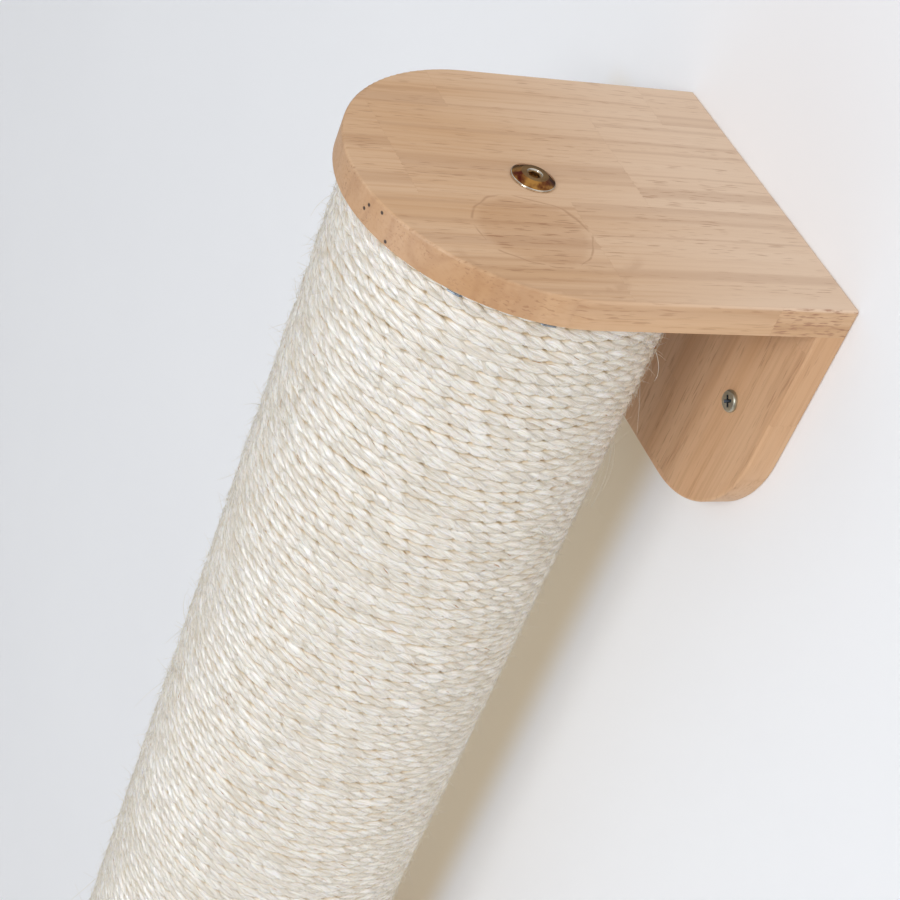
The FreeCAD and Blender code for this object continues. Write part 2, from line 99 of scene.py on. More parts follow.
class Graph:
    """Node tree that is written as nested calls."""

    def __init__(self, tree: bpy.types.NodeTree) -> None:
        """Start on an empty tree."""
        self.tree = tree
        tree.nodes.clear()

    def feed(self, socket: bpy.types.NodeSocket, given: Link) -> None:
        """Give an input what it takes.

        Args:
            socket: The input.
            given: A socket to link or a value to set.
        """
        if isinstance(given, bpy.types.NodeSocket):
            self.tree.links.new(given, socket)
        else:
            socket.default_value = given

    def node(self, kind: str, inputs: dict[str | int, Link] | None = None,
             **settings: object) -> bpy.types.Node:
        """Add a node, set its options and feed its inputs.

        Args:
            kind: Node type without its ShaderNode prefix.
            inputs: What each input takes, a socket to link or a value to set.
            **settings: Options of the node.

        Returns:
            The new node.
        """
        node = self.tree.nodes.new(f"ShaderNode{kind}")
        for name, setting in settings.items():
            setattr(node, name, setting)
        for key, given in (inputs or {}).items():
            self.feed(node.inputs[key], given)
        return node

    def group(self, tree: bpy.types.NodeTree, inputs: dict[str, Link]) -> bpy.types.Node:
        """Place a node group and feed its named sockets."""
        return self.node("Group", inputs, node_tree=tree)

    def math(self, operation: str, first: Link, second: Link = 0.0) -> bpy.types.NodeSocket:
        """Combine two numbers."""
        return self.node("Math", {0: first, 1: second}, operation=operation).outputs[0]

    def times(self, first: Link, second: Link) -> bpy.types.NodeSocket:
        """Multiply two numbers."""
        return self.math("MULTIPLY", first, second)

    def plus(self, first: Link, second: Link) -> bpy.types.NodeSocket:
        """Add two numbers."""
        return self.math("ADD", first, second)

    def minus(self, first: Link, second: Link) -> bpy.types.NodeSocket:
        """Take the second number from the first."""
        return self.math("SUBTRACT", first, second)

    def rest(self, share: Link) -> bpy.types.NodeSocket:
        """What a share leaves of one."""
        return self.minus(1.0, share)

    def step(self, number: Link, low: float, high: float, top: float = 1.0) -> bpy.types.NodeSocket:
        """Go smoothly from nought at the low number to the top at the high one, even where high is less."""
        inputs = {"Value": number, "From Min": low, "From Max": high, "To Max": top}
        return self.node("MapRange", inputs, interpolation_type="SMOOTHSTEP").outputs[0]

    def vector(self, across: Link, along: Link, depth: Link) -> bpy.types.NodeSocket:
        """Join three numbers into a vector."""
        return self.node("CombineXYZ", {0: across, 1: along, 2: depth}).outputs[0]

    def stretched(self, axes: tuple[Link, Link, Link], scales: Place) -> bpy.types.NodeSocket:
        """Join three numbers into a vector, each with its own scale."""
        return self.vector(*(self.times(axis, scale) for axis, scale in zip(axes, scales)))

    def noise(self, vector: Link, scale: float = 1.0, detail: float = 2.0) -> bpy.types.NodeSocket:
        """Smooth noise, about 0.5 on average."""
        return self.node("TexNoise", {"Vector": vector, "Scale": scale, "Detail": detail}).outputs[0]

    def sway(self, vector: Link, reach: float, scale: float = 1.0) -> bpy.types.NodeSocket:
        """Slow noise about nought with a given reach."""
        return self.times(self.minus(self.noise(vector, scale, detail=1.0), 0.5), reach)

    def mix(self, share: Link, first: Link, second: Link) -> bpy.types.NodeSocket:
        """Blend two colours."""
        return self.node("Mix", {0: share, 6: first, 7: second}, data_type="RGBA").outputs[2]

    def stain(self, colour: Link, mask: Link, share: float, tint: Colour) -> bpy.types.NodeSocket:
        """Turn a colour towards a tint where a mask lies, by a share at most."""
        return self.mix(self.times(mask, share), colour, linear(*tint))


class Effect:
    """A shader node group with named sockets that several finishes share."""

    def __init__(self, name: str, inputs: tuple[str, ...], outputs: tuple[str, ...]) -> None:
        """Make the group and its sockets, all of them numbers."""
        self.tree = bpy.data.node_groups.new(name, "ShaderNodeTree")
        for direction, names in (("INPUT", inputs), ("OUTPUT", outputs)):
            for socket in names:
                self.tree.interface.new_socket(socket, in_out=direction, socket_type="NodeSocketFloat")
        self.graph = Graph(self.tree)
        self.given = self.tree.nodes.new("NodeGroupInput").outputs
        self.result = self.tree.nodes.new("NodeGroupOutput").inputs

    def put(self, name: str, socket: bpy.types.NodeSocket) -> None:
        """Send a socket out of the group under a name."""
        self.tree.links.new(socket, self.result[name])


class BoardGrain(Effect):
    """Grain of a board glued from finger-jointed strips.

    It gives growth lines, streaks, pores, the tone of each block and one oval figure. A stretch says how
    quickly a noise changes across, along and through the board, and a range where a mask fades in.
    """

    STRIP = 56.0 * MM
    STRIP_EDGE = 13.0 * MM
    BLOCK = 93.0 * MM
    BLOCK_SHIFT = 33.0 * MM
    RAGGED_STRETCH = (900.0, 60.0, 900.0)
    RAGGED_REACH = 2.0 * MM
    TOSS = (2.7, 1.9, 1.3)
    TOSS_SPREAD = 43.7
    TOSS_SHIFT = 7.0
    WAVER_STRETCH = (9.0, 6.0, 9.0)
    WAVER_REACH = 8.0 * MM
    TONE_STRETCH = (60.0, 3.6, 60.0)
    STREAK_STRETCH = (760.0, 17.0, 760.0)
    DASH_STRETCH = (1300.0, 95.0, 1300.0)
    DASH_RANGE = (0.58, 0.70)
    CROWD_STRETCH = (110.0, 8.0, 110.0)
    CROWD_RANGE = (0.34, 0.66)
    FLAKE_STRETCH = (1100.0, 190.0, 1100.0)
    FLAKE_RANGE = (0.48, 0.70)
    DARK_TOSS = (0.85, 0.86)
    JOINT_RANGE = (0.05 * MM, 0.3 * MM)
    RING_STRETCH = (46.0, 20.0)
    RING_LINE = (0.5, 0.03)
    RING_SHARE = 0.45
    OVAL_WIDTH = 20.5 * MM
    OVAL_LENGTH = 22.5 * MM
    OVAL_RANGE = (0.80, 1.02)
    OVAL_LINE = (1.0, 0.035)
    OUTER_LINE = (1.68, 0.16)
    OUTER_RANGE = (8.0 * MM, 20.0 * MM)
    OUTER_SHARE = 0.5
    WOBBLE_SCALE = 70.0
    WOBBLE_REACH = 0.35
    FADE_SCALE = 110.0
    FADE_RANGE = (0.36, 0.52)

    def __init__(self) -> None:
        """Build the group."""
        inputs = ("Across", "Along", "Depth", "Seed", "Figure Across", "Figure Along")
        outputs = ("Tone", "Streaks", "Growth", "Pores", "Flecks", "Block", "Joint", "Figure", "Mottle")
        super().__init__("board_grain", inputs, outputs)
        g = self.graph
        across, along, depth, seed = (self.given[name] for name in inputs[:4])
        strip_place = g.math("DIVIDE", g.minus(across, self.STRIP_EDGE), self.STRIP)
        strip = g.math("FLOOR", strip_place)
        ragged = g.sway(g.stretched((across, along, depth), self.RAGGED_STRETCH), self.RAGGED_REACH)
        slid = g.plus(g.plus(along, g.times(strip, self.BLOCK_SHIFT)), ragged)
        block_place = g.math("DIVIDE", slid, self.BLOCK)
        toss = self.toss(strip, g.math("FLOOR", block_place), seed)
        self.put("Block", toss)

        waver = g.sway(g.stretched((across, along, depth), self.WAVER_STRETCH), self.WAVER_REACH)
        bent = g.plus(across, waver)
        level = g.plus(depth, seed)
        axes = (g.plus(bent, g.times(toss, self.TOSS_SHIFT)), along, level)
        self.put("Tone", g.noise(g.stretched((bent, along, level), self.TONE_STRETCH), detail=3.0))
        self.put("Streaks", g.noise(g.stretched(axes, self.STREAK_STRETCH), detail=4.0))
        dashes = g.step(g.noise(g.stretched(axes, self.DASH_STRETCH), detail=1.0), *self.DASH_RANGE)
        crowd = g.step(g.noise(g.stretched(axes, self.CROWD_STRETCH)), *self.CROWD_RANGE)
        self.put("Pores", g.times(dashes, crowd))
        self.put("Flecks", dashes)
        flakes = g.step(g.noise(g.stretched(axes, self.FLAKE_STRETCH)), *self.FLAKE_RANGE)
        self.put("Mottle", g.times(flakes, g.step(toss, *self.DARK_TOSS)))
        self.lines(axes[0], level)
        seam = g.math("MINIMUM", self.seam(strip_place, self.STRIP), self.seam(block_place, self.BLOCK))
        self.put("Joint", g.rest(g.step(seam, *self.JOINT_RANGE)))

    def toss(self, strip: Link, block: Link, seed: Link) -> bpy.types.NodeSocket:
        """Give each block of each strip its own number, nought to one.

        Args:
            strip: Number of the strip.
            block: Number of the block in its strip.
            seed: Number of the board.

        Returns:
            The block's number.
        """
        g = self.graph
        terms = [g.times(number, weight) for number, weight in zip((strip, block, seed), self.TOSS)]
        wave = g.math("SINE", g.plus(g.plus(terms[0], terms[1]), terms[2]))
        return g.math("FRACT", g.times(wave, self.TOSS_SPREAD))

    def lines(self, bent: Link, level: Link) -> None:
        """Draw the growth lines and the oval figure.

        Args:
            bent: Place across the fibres, bent as they are.
            level: Place through the board.
        """
        g = self.graph
        across, along = self.given["Across"], self.given["Along"]
        ring = g.noise(g.stretched((bent, level, 0.0), (*self.RING_STRETCH, 0.0)), detail=1.0)
        straight = self.thin(ring, *self.RING_LINE)
        squares = []
        for place, centre, reach in ((across, "Figure Across", self.OVAL_WIDTH),
                                     (along, "Figure Along", self.OVAL_LENGTH)):
            share = g.math("DIVIDE", g.minus(place, self.given[centre]), reach)
            squares.append(g.times(share, share))
        flat = g.vector(across, along, 0.0)
        wobble = g.sway(flat, self.WOBBLE_REACH, self.WOBBLE_SCALE)
        oval = g.plus(g.math("SQRT", g.plus(*squares)), wobble)
        off_figure = g.minus(across, self.given["Figure Across"])
        near_side = g.step(off_figure, *self.OUTER_RANGE, self.OUTER_SHARE)
        outer = g.times(self.thin(oval, *self.OUTER_LINE), near_side)
        soft_mask = g.step(g.noise(flat, self.FADE_SCALE), *self.FADE_RANGE)
        drawn = g.times(g.math("MAXIMUM", self.thin(oval, *self.OVAL_LINE), outer), soft_mask)
        self.put("Growth", g.math("MAXIMUM", drawn, g.times(straight, self.RING_SHARE)))
        self.put("Figure", g.rest(g.step(oval, *self.OVAL_RANGE)))

    def thin(self, number: Link, level: float, width: float) -> bpy.types.NodeSocket:
        """Draw a thin line where a number passes a level."""
        g = self.graph
        return g.rest(g.step(g.math("ABSOLUTE", g.minus(number, level)), 0.0, width))

    def seam(self, place: Link, size: float) -> bpy.types.NodeSocket:
        """Distance to the nearest seam of a row of equal pieces, in metres."""
        g = self.graph
        off_middle = g.math("ABSOLUTE", g.minus(g.math("FRACT", place), 0.5))
        return g.times(g.minus(0.5, off_middle), size)


class FibreStreaks(Effect):
    """Fine fibres that run along a strand, a thread of paper or a wisp."""

    FIBRE_STRETCH = (200.0, 28.0, 5.0)
    FLECK_STRETCH = (120.0, 9.0, 3.0)
    FLECK_RANGE = (0.70, 0.78)
    PATCH_STRETCH = (14.0, 0.6, 2.0)

    def __init__(self) -> None:
        """Build the group."""
        inputs = ("Along", "Around", "Seed")
        super().__init__("fibre_streaks", inputs, ("Fibres", "Flecks", "Patches"))
        g = self.graph
        axes = tuple(self.given[name] for name in inputs)
        self.put("Fibres", g.noise(g.stretched(axes, self.FIBRE_STRETCH), detail=3.0))
        fleck = g.noise(g.stretched(axes, self.FLECK_STRETCH), detail=1.0)
        self.put("Flecks", g.step(fleck, *self.FLECK_RANGE))
        self.put("Patches", g.noise(g.stretched(axes, self.PATCH_STRETCH)))


class Handling(Effect):
    """Cloudy unevenness and fine scratches of a handled surface."""

    SCRATCH_STRETCH = (1.0, 22.0, 1.0)
    SCRATCH_SCALE = 2.0
    SCRATCH_RANGE = (0.60, 0.72)

    def __init__(self) -> None:
        """Build the group."""
        names = ("Across", "Along", "Depth")
        super().__init__("handling", (*names, "Scale"), ("Clouds", "Scratches"))
        g = self.graph
        scaled = tuple(g.times(self.given[name], self.given["Scale"]) for name in names)
        self.put("Clouds", g.noise(g.vector(*scaled), detail=3.0))
        lines = g.noise(g.stretched(scaled, self.SCRATCH_STRETCH), self.SCRATCH_SCALE)
        self.put("Scratches", g.step(lines, *self.SCRATCH_RANGE))


@dataclass(frozen=True)
class Effects:
    """The shared node groups."""

    grain: BoardGrain
    fibres: FibreStreaks
    handling: Handling


class Paint:
    """A material under way: its graph, its coordinates and its surface shader."""

    def __init__(self, name: str) -> None:
        """Make the material with one surface shader and the place on the object in metres."""
        self.material = bpy.data.materials.new(name)
        self.material.use_nodes = True
        self.graph = Graph(self.material.node_tree)
        self.surface = self.graph.node("BsdfPrincipled")
        self.output = self.graph.node("OutputMaterial", {"Surface": self.surface.outputs[0]})
        self.place = self.graph.node("TexCoord").outputs["Object"]
        self.axes = tuple(self.graph.node("SeparateXYZ", {0: self.place}).outputs)

    def set(self, **inputs: Link) -> None:
        """Feed inputs of the surface shader, with spaces in their names written as underscores."""
        for name, given in inputs.items():
            self.graph.feed(self.surface.inputs[name.replace("_", " ")], given)

    def relief(self, height: Link, depth: float) -> None:
        """Give the surface a fine relief.

        Args:
            height: Height of the relief, 0 to 1.
            depth: Height of the relief in metres.
        """
        bump = self.graph.node("Bump", {"Height": height, "Distance": depth, "Strength": 1.0})
        self.set(Normal=bump.outputs[0])


@dataclass(frozen=True)
class Rubberwood:
    """Oiled rubberwood board with its own run of grain.

    A share says how far a mask turns the colour, and a range where the mask fades in. The figure is the
    place of the oval on the board, and the pinholes are places on its rim, all in millimetres.
    """

    name: str
    run: GrainRun
    seed: float
    pale: Colour = (214, 180, 147)
    warm: Colour = (199, 157, 115)
    streak: Colour = (183, 138, 97)
    pore: Colour = (146, 99, 66)
    mottle: Colour = (158, 112, 88)
    wall_side_pale: Colour = (236, 216, 198)
    hole: Colour = (58, 38, 26)
    figure: Span = OFF_THE_BOARD
    pinholes: tuple[Place, ...] = ()
    hole_range: Span = (0.45 * MM, 0.9 * MM)
    tone_share: float = 0.75
    block_share: float = 0.05
    tone_range: Span = (0.20, 0.72)
    figure_share: float = 0.35
    dotted_share: float = 0.45
    streak_share: float = 0.55
    streak_range: Span = (0.42, 0.80)
    growth_share: float = 0.20
    pore_share: float = 0.42
    joint_share: float = 0.08
    mottle_share: float = 0.75
    wall_side_pale_share: float = 0.0
    wall_side_pale_range: Span = (-135.0 * MM, -5.0 * MM)
    top_range: Span = (298.8 * MM, 299.8 * MM)
    rim_share: float = 0.5
    rim_range: Span = (-150.0 * MM, -100.0 * MM)
    dry_range: Span = (0.3, 0.8)
    dry_height: float = 0.4
    dry_roughness: float = 0.12
    roughness: float = 0.42
    specular: float = 0.35
    relief: float = 0.06 * MM

    def build(self, effects: Effects) -> bpy.types.Material:
        """Make the material.

        Args:
            effects: The shared node groups.

        Returns:
            The finished material.
        """
        paint = Paint(self.name)
        g = paint.graph
        x, y, z = paint.axes
        across, along, depth = (x, y, z) if self.run is GrainRun.TO_WALL else (x, z, y)
        grain = g.group(effects.grain.tree, {
            "Across": across, "Along": along, "Depth": depth, "Seed": self.seed,
            "Figure Across": self.figure[0] * MM, "Figure Along": self.figure[1] * MM}).outputs
        tone = g.plus(g.times(grain["Tone"], self.tone_share), g.times(grain["Block"], self.block_share))
        colour = g.mix(g.step(tone, *self.tone_range), linear(*self.pale), linear(*self.warm))
        colour = g.stain(colour, grain["Figure"], self.figure_share, self.streak)
        colour = g.stain(colour, g.times(grain["Figure"], grain["Flecks"]), self.dotted_share, self.pore)
        streaks = g.step(grain["Streaks"], *self.streak_range)
        colour = g.stain(colour, streaks, self.streak_share, self.streak)
        if self.wall_side_pale_share:
            # The top face turns paler towards the wall.
            upward = g.step(depth, *self.top_range)
            soft_mask = g.times(upward, g.step(along, *self.wall_side_pale_range))
            colour = g.stain(colour, soft_mask, self.wall_side_pale_share, self.wall_side_pale)
            rim = g.rest(g.math("MAXIMUM", upward, g.step(along, *self.rim_range)))
            colour = g.stain(colour, rim, self.rim_share, self.streak)
        for mask, share, tint in (("Growth", self.growth_share, self.pore),
                                  ("Pores", self.pore_share, self.pore),
                                  ("Joint", self.joint_share, self.pore),
                                  ("Mottle", self.mottle_share, self.mottle)):
            colour = g.stain(colour, grain[mask], share, tint)
        for pinhole in self.pinholes:
            place = tuple(number * MM for number in pinhole)
            away = g.node("VectorMath", {0: paint.place, 1: place}, operation="DISTANCE").outputs["Value"]
            colour = g.mix(g.rest(g.step(away, *self.hole_range)), colour, linear(*self.hole))
        dry = g.step(grain["Streaks"], *self.dry_range)
        roughness = g.plus(g.times(dry, self.dry_roughness), self.roughness)
        paint.set(Base_Color=colour, Roughness=roughness, Specular_IOR_Level=self.specular)
        paint.relief(g.minus(g.times(dry, self.dry_height), grain["Pores"]), self.relief)
        return paint.material


@dataclass(frozen=True)
class Sisal:
    """Pale sisal, as a laid strand or as a loose wisp, with a painted warm shade where it lies deep in the
    winding.

    The axis of the post is at nought across and at axis_y towards the wall.
    """

    name: str
    axis_y: float
    outer: float
    light: Colour = (247, 245, 241)
    shade: Colour = (223, 216, 204)
    fleck: Colour = (170, 122, 70)
    painted_crevice_shade: Colour = (220, 192, 146)
    twist: float = 26.0
    fibre_share: float = 0.6
    patch_share: float = 0.4
    tone_range: Span = (0.40, 0.60)
    crevice_shade_share: float = 0.75
    crevice_shade_depth: Span = (0.5 * MM, 1.8 * MM)
    fleck_share: float = 0.8
    roughness: float = 0.26
    specular: float = 1.0
    glow_share: float = 0.35
    glow_depth: float = 0.8 * MM
    glow_reach: Colour = (1.0, 0.85, 0.6)
    relief: float = 0.22 * MM

    def build(self, effects: Effects) -> bpy.types.Material:
        """Make the material.

        Args:
            effects: The shared node groups.

        Returns:
            The finished material.
        """
        paint = Paint(self.name)
        g = paint.graph
        run = g.node("SeparateXYZ", {0: g.node("UVMap", uv_map=UV_STRAND).outputs[0]}).outputs
        around = g.plus(run[1], g.times(run[0], self.twist))
        fibres = g.group(effects.fibres.tree, {"Along": run[0], "Around": around, "Seed": 0.0}).outputs
        tone = g.plus(g.times(fibres["Fibres"], self.fibre_share),
                      g.times(fibres["Patches"], self.patch_share))
        colour = g.mix(g.step(tone, *self.tone_range), linear(*self.shade), linear(*self.light))
        level = g.vector(paint.axes[0], g.minus(paint.axes[1], self.axis_y), 0.0)
        off_axis = g.node("VectorMath", {0: level}, operation="LENGTH").outputs["Value"]
        # Painted shade: the colour turns yellow-tan where the surface lies deep between strands and rows.
        deep_shade = g.step(g.minus(self.outer, off_axis), *self.crevice_shade_depth)
        colour = g.stain(colour, deep_shade, self.crevice_shade_share, self.painted_crevice_shade)
        colour = g.stain(colour, fibres["Flecks"], self.fleck_share, self.fleck)
        paint.set(Base_Color=colour, Roughness=self.roughness, Specular_IOR_Level=self.specular)
        paint.set(Subsurface_Weight=self.glow_share, Subsurface_Scale=self.glow_depth,
                  Subsurface_Radius=self.glow_reach)
        paint.relief(fibres["Fibres"], self.relief)
        return paint.material


@dataclass(frozen=True)
class PlatedSteel:
    """Steel with a thin plated or bright-drawn surface."""

    name: str
    base: Colour
    tint: Colour
    roughness: float
    cloud_scale: float = 260.0
    cloud_range: Span = (0.35, 0.7)
    scuff_roughness: float = 0.12

    def build(self, effects: Effects) -> bpy.types.Material:
        """Make the material.

        Args:
            effects: The shared node groups.

        Returns:
            The finished material.
        """
        paint = Paint(self.name)
        g = paint.graph
        x, y, z = paint.axes
        worn = g.group(effects.handling.tree,
                       {"Across": x, "Along": y, "Depth": z, "Scale": self.cloud_scale}).outputs
        colour = g.mix(g.step(worn["Clouds"], *self.cloud_range), linear(*self.base), linear(*self.tint))
        scuff = g.times(worn["Scratches"], self.scuff_roughness)
        paint.set(Base_Color=colour, Metallic=1.0, Roughness=g.plus(scuff, self.roughness))
        return paint.material


@dataclass(frozen=True)
class PlainFibre:
    """Kraft paper, plywood or beech: a dull surface with short fibres."""

    name: str
    base: Colour
    dark: Colour
    stretch: float
    cross_stretch: float = 40.0
    fleck_share: float = 0.5
    roughness: float = 0.75
    relief: float = 0.1 * MM

    def build(self, effects: Effects) -> bpy.types.Material:
        """Make the material.

        Args:
            effects: The shared node groups.

        Returns:
            The finished material.
        """
        paint = Paint(self.name)
        g = paint.graph
        x, y, z = paint.axes
        fibres = g.group(effects.fibres.tree, {
            "Along": g.times(y, self.stretch), "Around": g.times(x, self.cross_stretch),
            "Seed": g.times(z, self.cross_stretch)}).outputs
        colour = g.mix(fibres["Fibres"], linear(*self.base), linear(*self.dark))
        colour = g.stain(colour, fibres["Flecks"], self.fleck_share, self.dark)
        paint.set(Base_Color=colour, Roughness=self.roughness)
        paint.relief(fibres["Fibres"], self.relief)
        return paint.material


@dataclass(frozen=True)
class Emulsion:
    """Matt wall or floor paint that is clear from its back.

    Behind the post a warm painted shadow is laid on the wall, standing in for the shade there and the light
    that comes back from the rope and the boards.
    """

    name: str
    base: Colour
    painted_shadow: Colour | None = None
    strip_middle: float = -57.0 * MM
    strip_half: float = 75.0 * MM
    strip_fade: float = 22.0 * MM
    strip_top: float = 260.0 * MM
    cloud_scale: float = 5.0
    cloud_drop: int = 4
    roughness: float = 0.9
    specular: float = 0.1

    def build(self, effects: Effects) -> bpy.types.Material:
        """Make the material.

        Args:
            effects: The shared node groups.

        Returns:
            The finished material.
        """
        paint = Paint(self.name)
        g = paint.graph
        x, y, z = paint.axes
        rolled = g.group(effects.handling.tree,
                         {"Across": x, "Along": y, "Depth": z, "Scale": self.cloud_scale}).outputs
        deeper = tuple(level - self.cloud_drop for level in self.base)
        colour = g.mix(rolled["Clouds"], linear(*self.base), linear(*deeper))
        if self.painted_shadow:
            # Painted shadow: a warm tan strip on the wall behind the post, where the post's shade falls.
            off_middle = g.math("ABSOLUTE", g.minus(x, self.strip_middle))
            beside = g.step(off_middle, self.strip_half, self.strip_half - self.strip_fade)
            between = g.step(g.math("ABSOLUTE", z), self.strip_top + self.strip_fade, self.strip_top)
            colour = g.mix(g.times(beside, between), colour, linear(*self.painted_shadow))
        paint.set(Base_Color=colour, Roughness=self.roughness, Specular_IOR_Level=self.specular)
        back = g.node("NewGeometry").outputs["Backfacing"]
        clear = g.node("BsdfTransparent").outputs[0]
        shown = g.node("MixShader", {0: back, 1: paint.surface.outputs[0], 2: clear}).outputs[0]
        g.feed(paint.output.inputs["Surface"], shown)
        return paint.material


@dataclass(frozen=True)
class Palette:
    """Every finish of the picture, by what it dresses."""

    top_board: bpy.types.Material
    upper_back: bpy.types.Material
    base_board: bpy.types.Material
    lower_back: bpy.types.Material
    sisal: bpy.types.Material
    wisp: bpy.types.Material
    yellow_zinc: bpy.types.Material
    polished_and_painted_reflection: bpy.types.Material
    bright: bpy.types.Material
    grey_zinc: bpy.types.Material
    wire: bpy.types.Material
    recess: bpy.types.Material
    kraft: bpy.types.Material
    plywood: bpy.types.Material
    beech: bpy.types.Material
    wall: bpy.types.Material
    floor: bpy.types.Material

    @classmethod
    def mixed(cls) -> "Palette":
        """Build the shared effects once and every finish from them.

        Returns:
            The palette.
        """
        effects = Effects(BoardGrain(), FibreStreaks(), Handling())
        low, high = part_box("sisal_rope_wrap")
        post = {"axis_y": (low[1] + high[1]) / 2, "outer": high[0]}
        pinholes = ((14.0, -171.6, 293.1), (15.7, -171.2, 295.7),
                    (22.3, -169.3, 297.4), (27.4, -167.4, 289.4))
        to_wall, upright = GrainRun.TO_WALL, GrainRun.UPRIGHT
        ruddy = {"pale": (215, 178, 143), "warm": (199, 152, 110), "streak": (156, 106, 68),
                 "streak_share": 0.28, "growth_share": 0.35}
        finishes = {
            "top_board": Rubberwood("rubberwood_top", to_wall, 12.6, figure=(31.5, -116.0),
                                    pinholes=pinholes, wall_side_pale_share=0.55, streak_share=0.42,
                                    growth_share=0.42),
            "upper_back": Rubberwood("rubberwood_upper_back", upright, 3.8, **ruddy),
            "base_board": Rubberwood("rubberwood_base", to_wall, 8.9),
            "lower_back": Rubberwood("rubberwood_lower_back", upright, 4.0, **ruddy),
            "sisal": Sisal("sisal_strand", **post),
            "wisp": Sisal("sisal_wisp", **post, light=(248, 243, 230), shade=(232, 219, 192)),
            "yellow_zinc": PlatedSteel("yellow_zinc", (150, 116, 74), (122, 92, 58), 0.34),
            # The bolt cone's maroon tint is partly the plating's own tint and partly a painted dark
            # reflection of the room.
            "polished_and_painted_reflection": PlatedSteel("polished_zinc_painted_reflection", (190, 138, 72), (92, 36, 24), 0.10),
            "bright": PlatedSteel("bright_zinc", (234, 226, 212), (188, 176, 160), 0.12),
            "grey_zinc": PlatedSteel("grey_zinc", (202, 202, 188), (176, 176, 164), 0.42),
            # Painted shade: the screw recesses take a dark zinc for the shade inside them.
            "recess": PlatedSteel("painted_recess_shade", (78, 84, 92), (52, 58, 66), 0.5),
            "wire": PlatedSteel("bright_wire", (168, 182, 196), (130, 146, 164), 0.3),
            "kraft": PlainFibre("kraft_paper", (196, 162, 118), (164, 126, 84), 1.0),
            "plywood": PlainFibre("birch_ply", (222, 192, 150), (190, 152, 104), 0.3),
            "beech": PlainFibre("beech", (220, 186, 146), (188, 146, 104), 0.4),
            # The wall carries a warm painted shadow behind the post.
            "wall": Emulsion("wall_paint", (244, 247, 252), painted_shadow=(235, 225, 205)),
            "floor": Emulsion("floor_paint", (232, 232, 232)),
        }
        return cls(**{name: finish.build(effects) for name, finish in finishes.items()})


def mesh_piece(name: str, points: np.ndarray, faces: np.ndarray, material: bpy.types.Material,
               uv: np.ndarray | None = None, crease: float | None = None,
               others: tuple[tuple[bpy.types.Material, np.ndarray], ...] = ()) -> bpy.types.Object:
    """Make a smooth mesh piece from arrays.

    Args:
        name: Name of the piece.
        points: Corner points, in metres.
        faces: Four corner numbers of each face.
        material: What the piece is made of.
        uv: Two surface numbers for each face corner.
        crease: Angle in degrees beyond which an edge stays sharp.
        others: Further materials, each with the faces that take it.

    Returns:
        The piece, linked to the scene.
    """
    mesh = bpy.data.meshes.new(name)
    mesh.vertices.add(len(points))
    mesh.vertices.foreach_set("co", points.astype(np.float32).ravel())
    mesh.loops.add(faces.size)
    mesh.loops.foreach_set("vertex_index", faces.astype(np.int32).ravel())
    mesh.polygons.add(len(faces))
    mesh.polygons.foreach_set("loop_start", np.arange(0, faces.size, faces.shape[1], dtype=np.int32))
    mesh.polygons.foreach_set("use_smooth", np.ones(len(faces), dtype=bool))
    if uv is not None:
        layer = mesh.uv_layers.new(name=UV_STRAND)
        layer.uv.foreach_set("vector", uv.astype(np.float32).ravel())
    mesh.update(calc_edges=True)
    mesh.validate()
    if crease is not None:
        mesh.set_sharp_from_angle(angle=math.radians(crease))
    mesh.materials.append(material)
    numbers = np.zeros(len(faces), dtype=np.int32)
    for number, (other, taken) in enumerate(others, start=1):
        mesh.materials.append(other)
        numbers[taken] = number
    mesh.polygons.foreach_set("material_index", numbers)
    piece = bpy.data.objects.new(name, mesh)
    bpy.context.scene.collection.objects.link(piece)
    return piece


def unit(vectors: np.ndarray) -> np.ndarray:
    """Scale vectors to length one."""
    return vectors / np.linalg.norm(vectors, axis=-1, keepdims=True)


def wander(rng: np.random.Generator, count: int, spacing: int) -> np.ndarray:
    """Slow random series, about nought on average and one in spread.

    Args:
        rng: Source of the random numbers.
        count: Length of the series.
        spacing: Steps between two independent numbers.

    Returns:
        The series.
    """
    knots = rng.normal(size=count // spacing + 3)
    place = np.arange(count) / spacing
    low = place.astype(int)
    share = place - low
    share = share * share * (3.0 - 2.0 * share)
    return knots[low] * (1.0 - share) + knots[low + 1] * share


def band_faces(rings: int, sides: int) -> tuple[np.ndarray, np.ndarray, np.ndarray]:
    """Join rings of points by bands of four-cornered faces.

    Args:
        rings: How many rings there are.
        sides: How many points each ring has.

    Returns:
        The ring and the side that each face starts from, and its four corner numbers.
    """
    ring, side = np.indices((rings - 1, sides)).reshape(2, -1)
    here, ahead = ring * sides, (ring + 1) * sides
    after = (side + 1) % sides
    return ring, side, np.stack((here + side, here + after, ahead + after, ahead + side), axis=1)


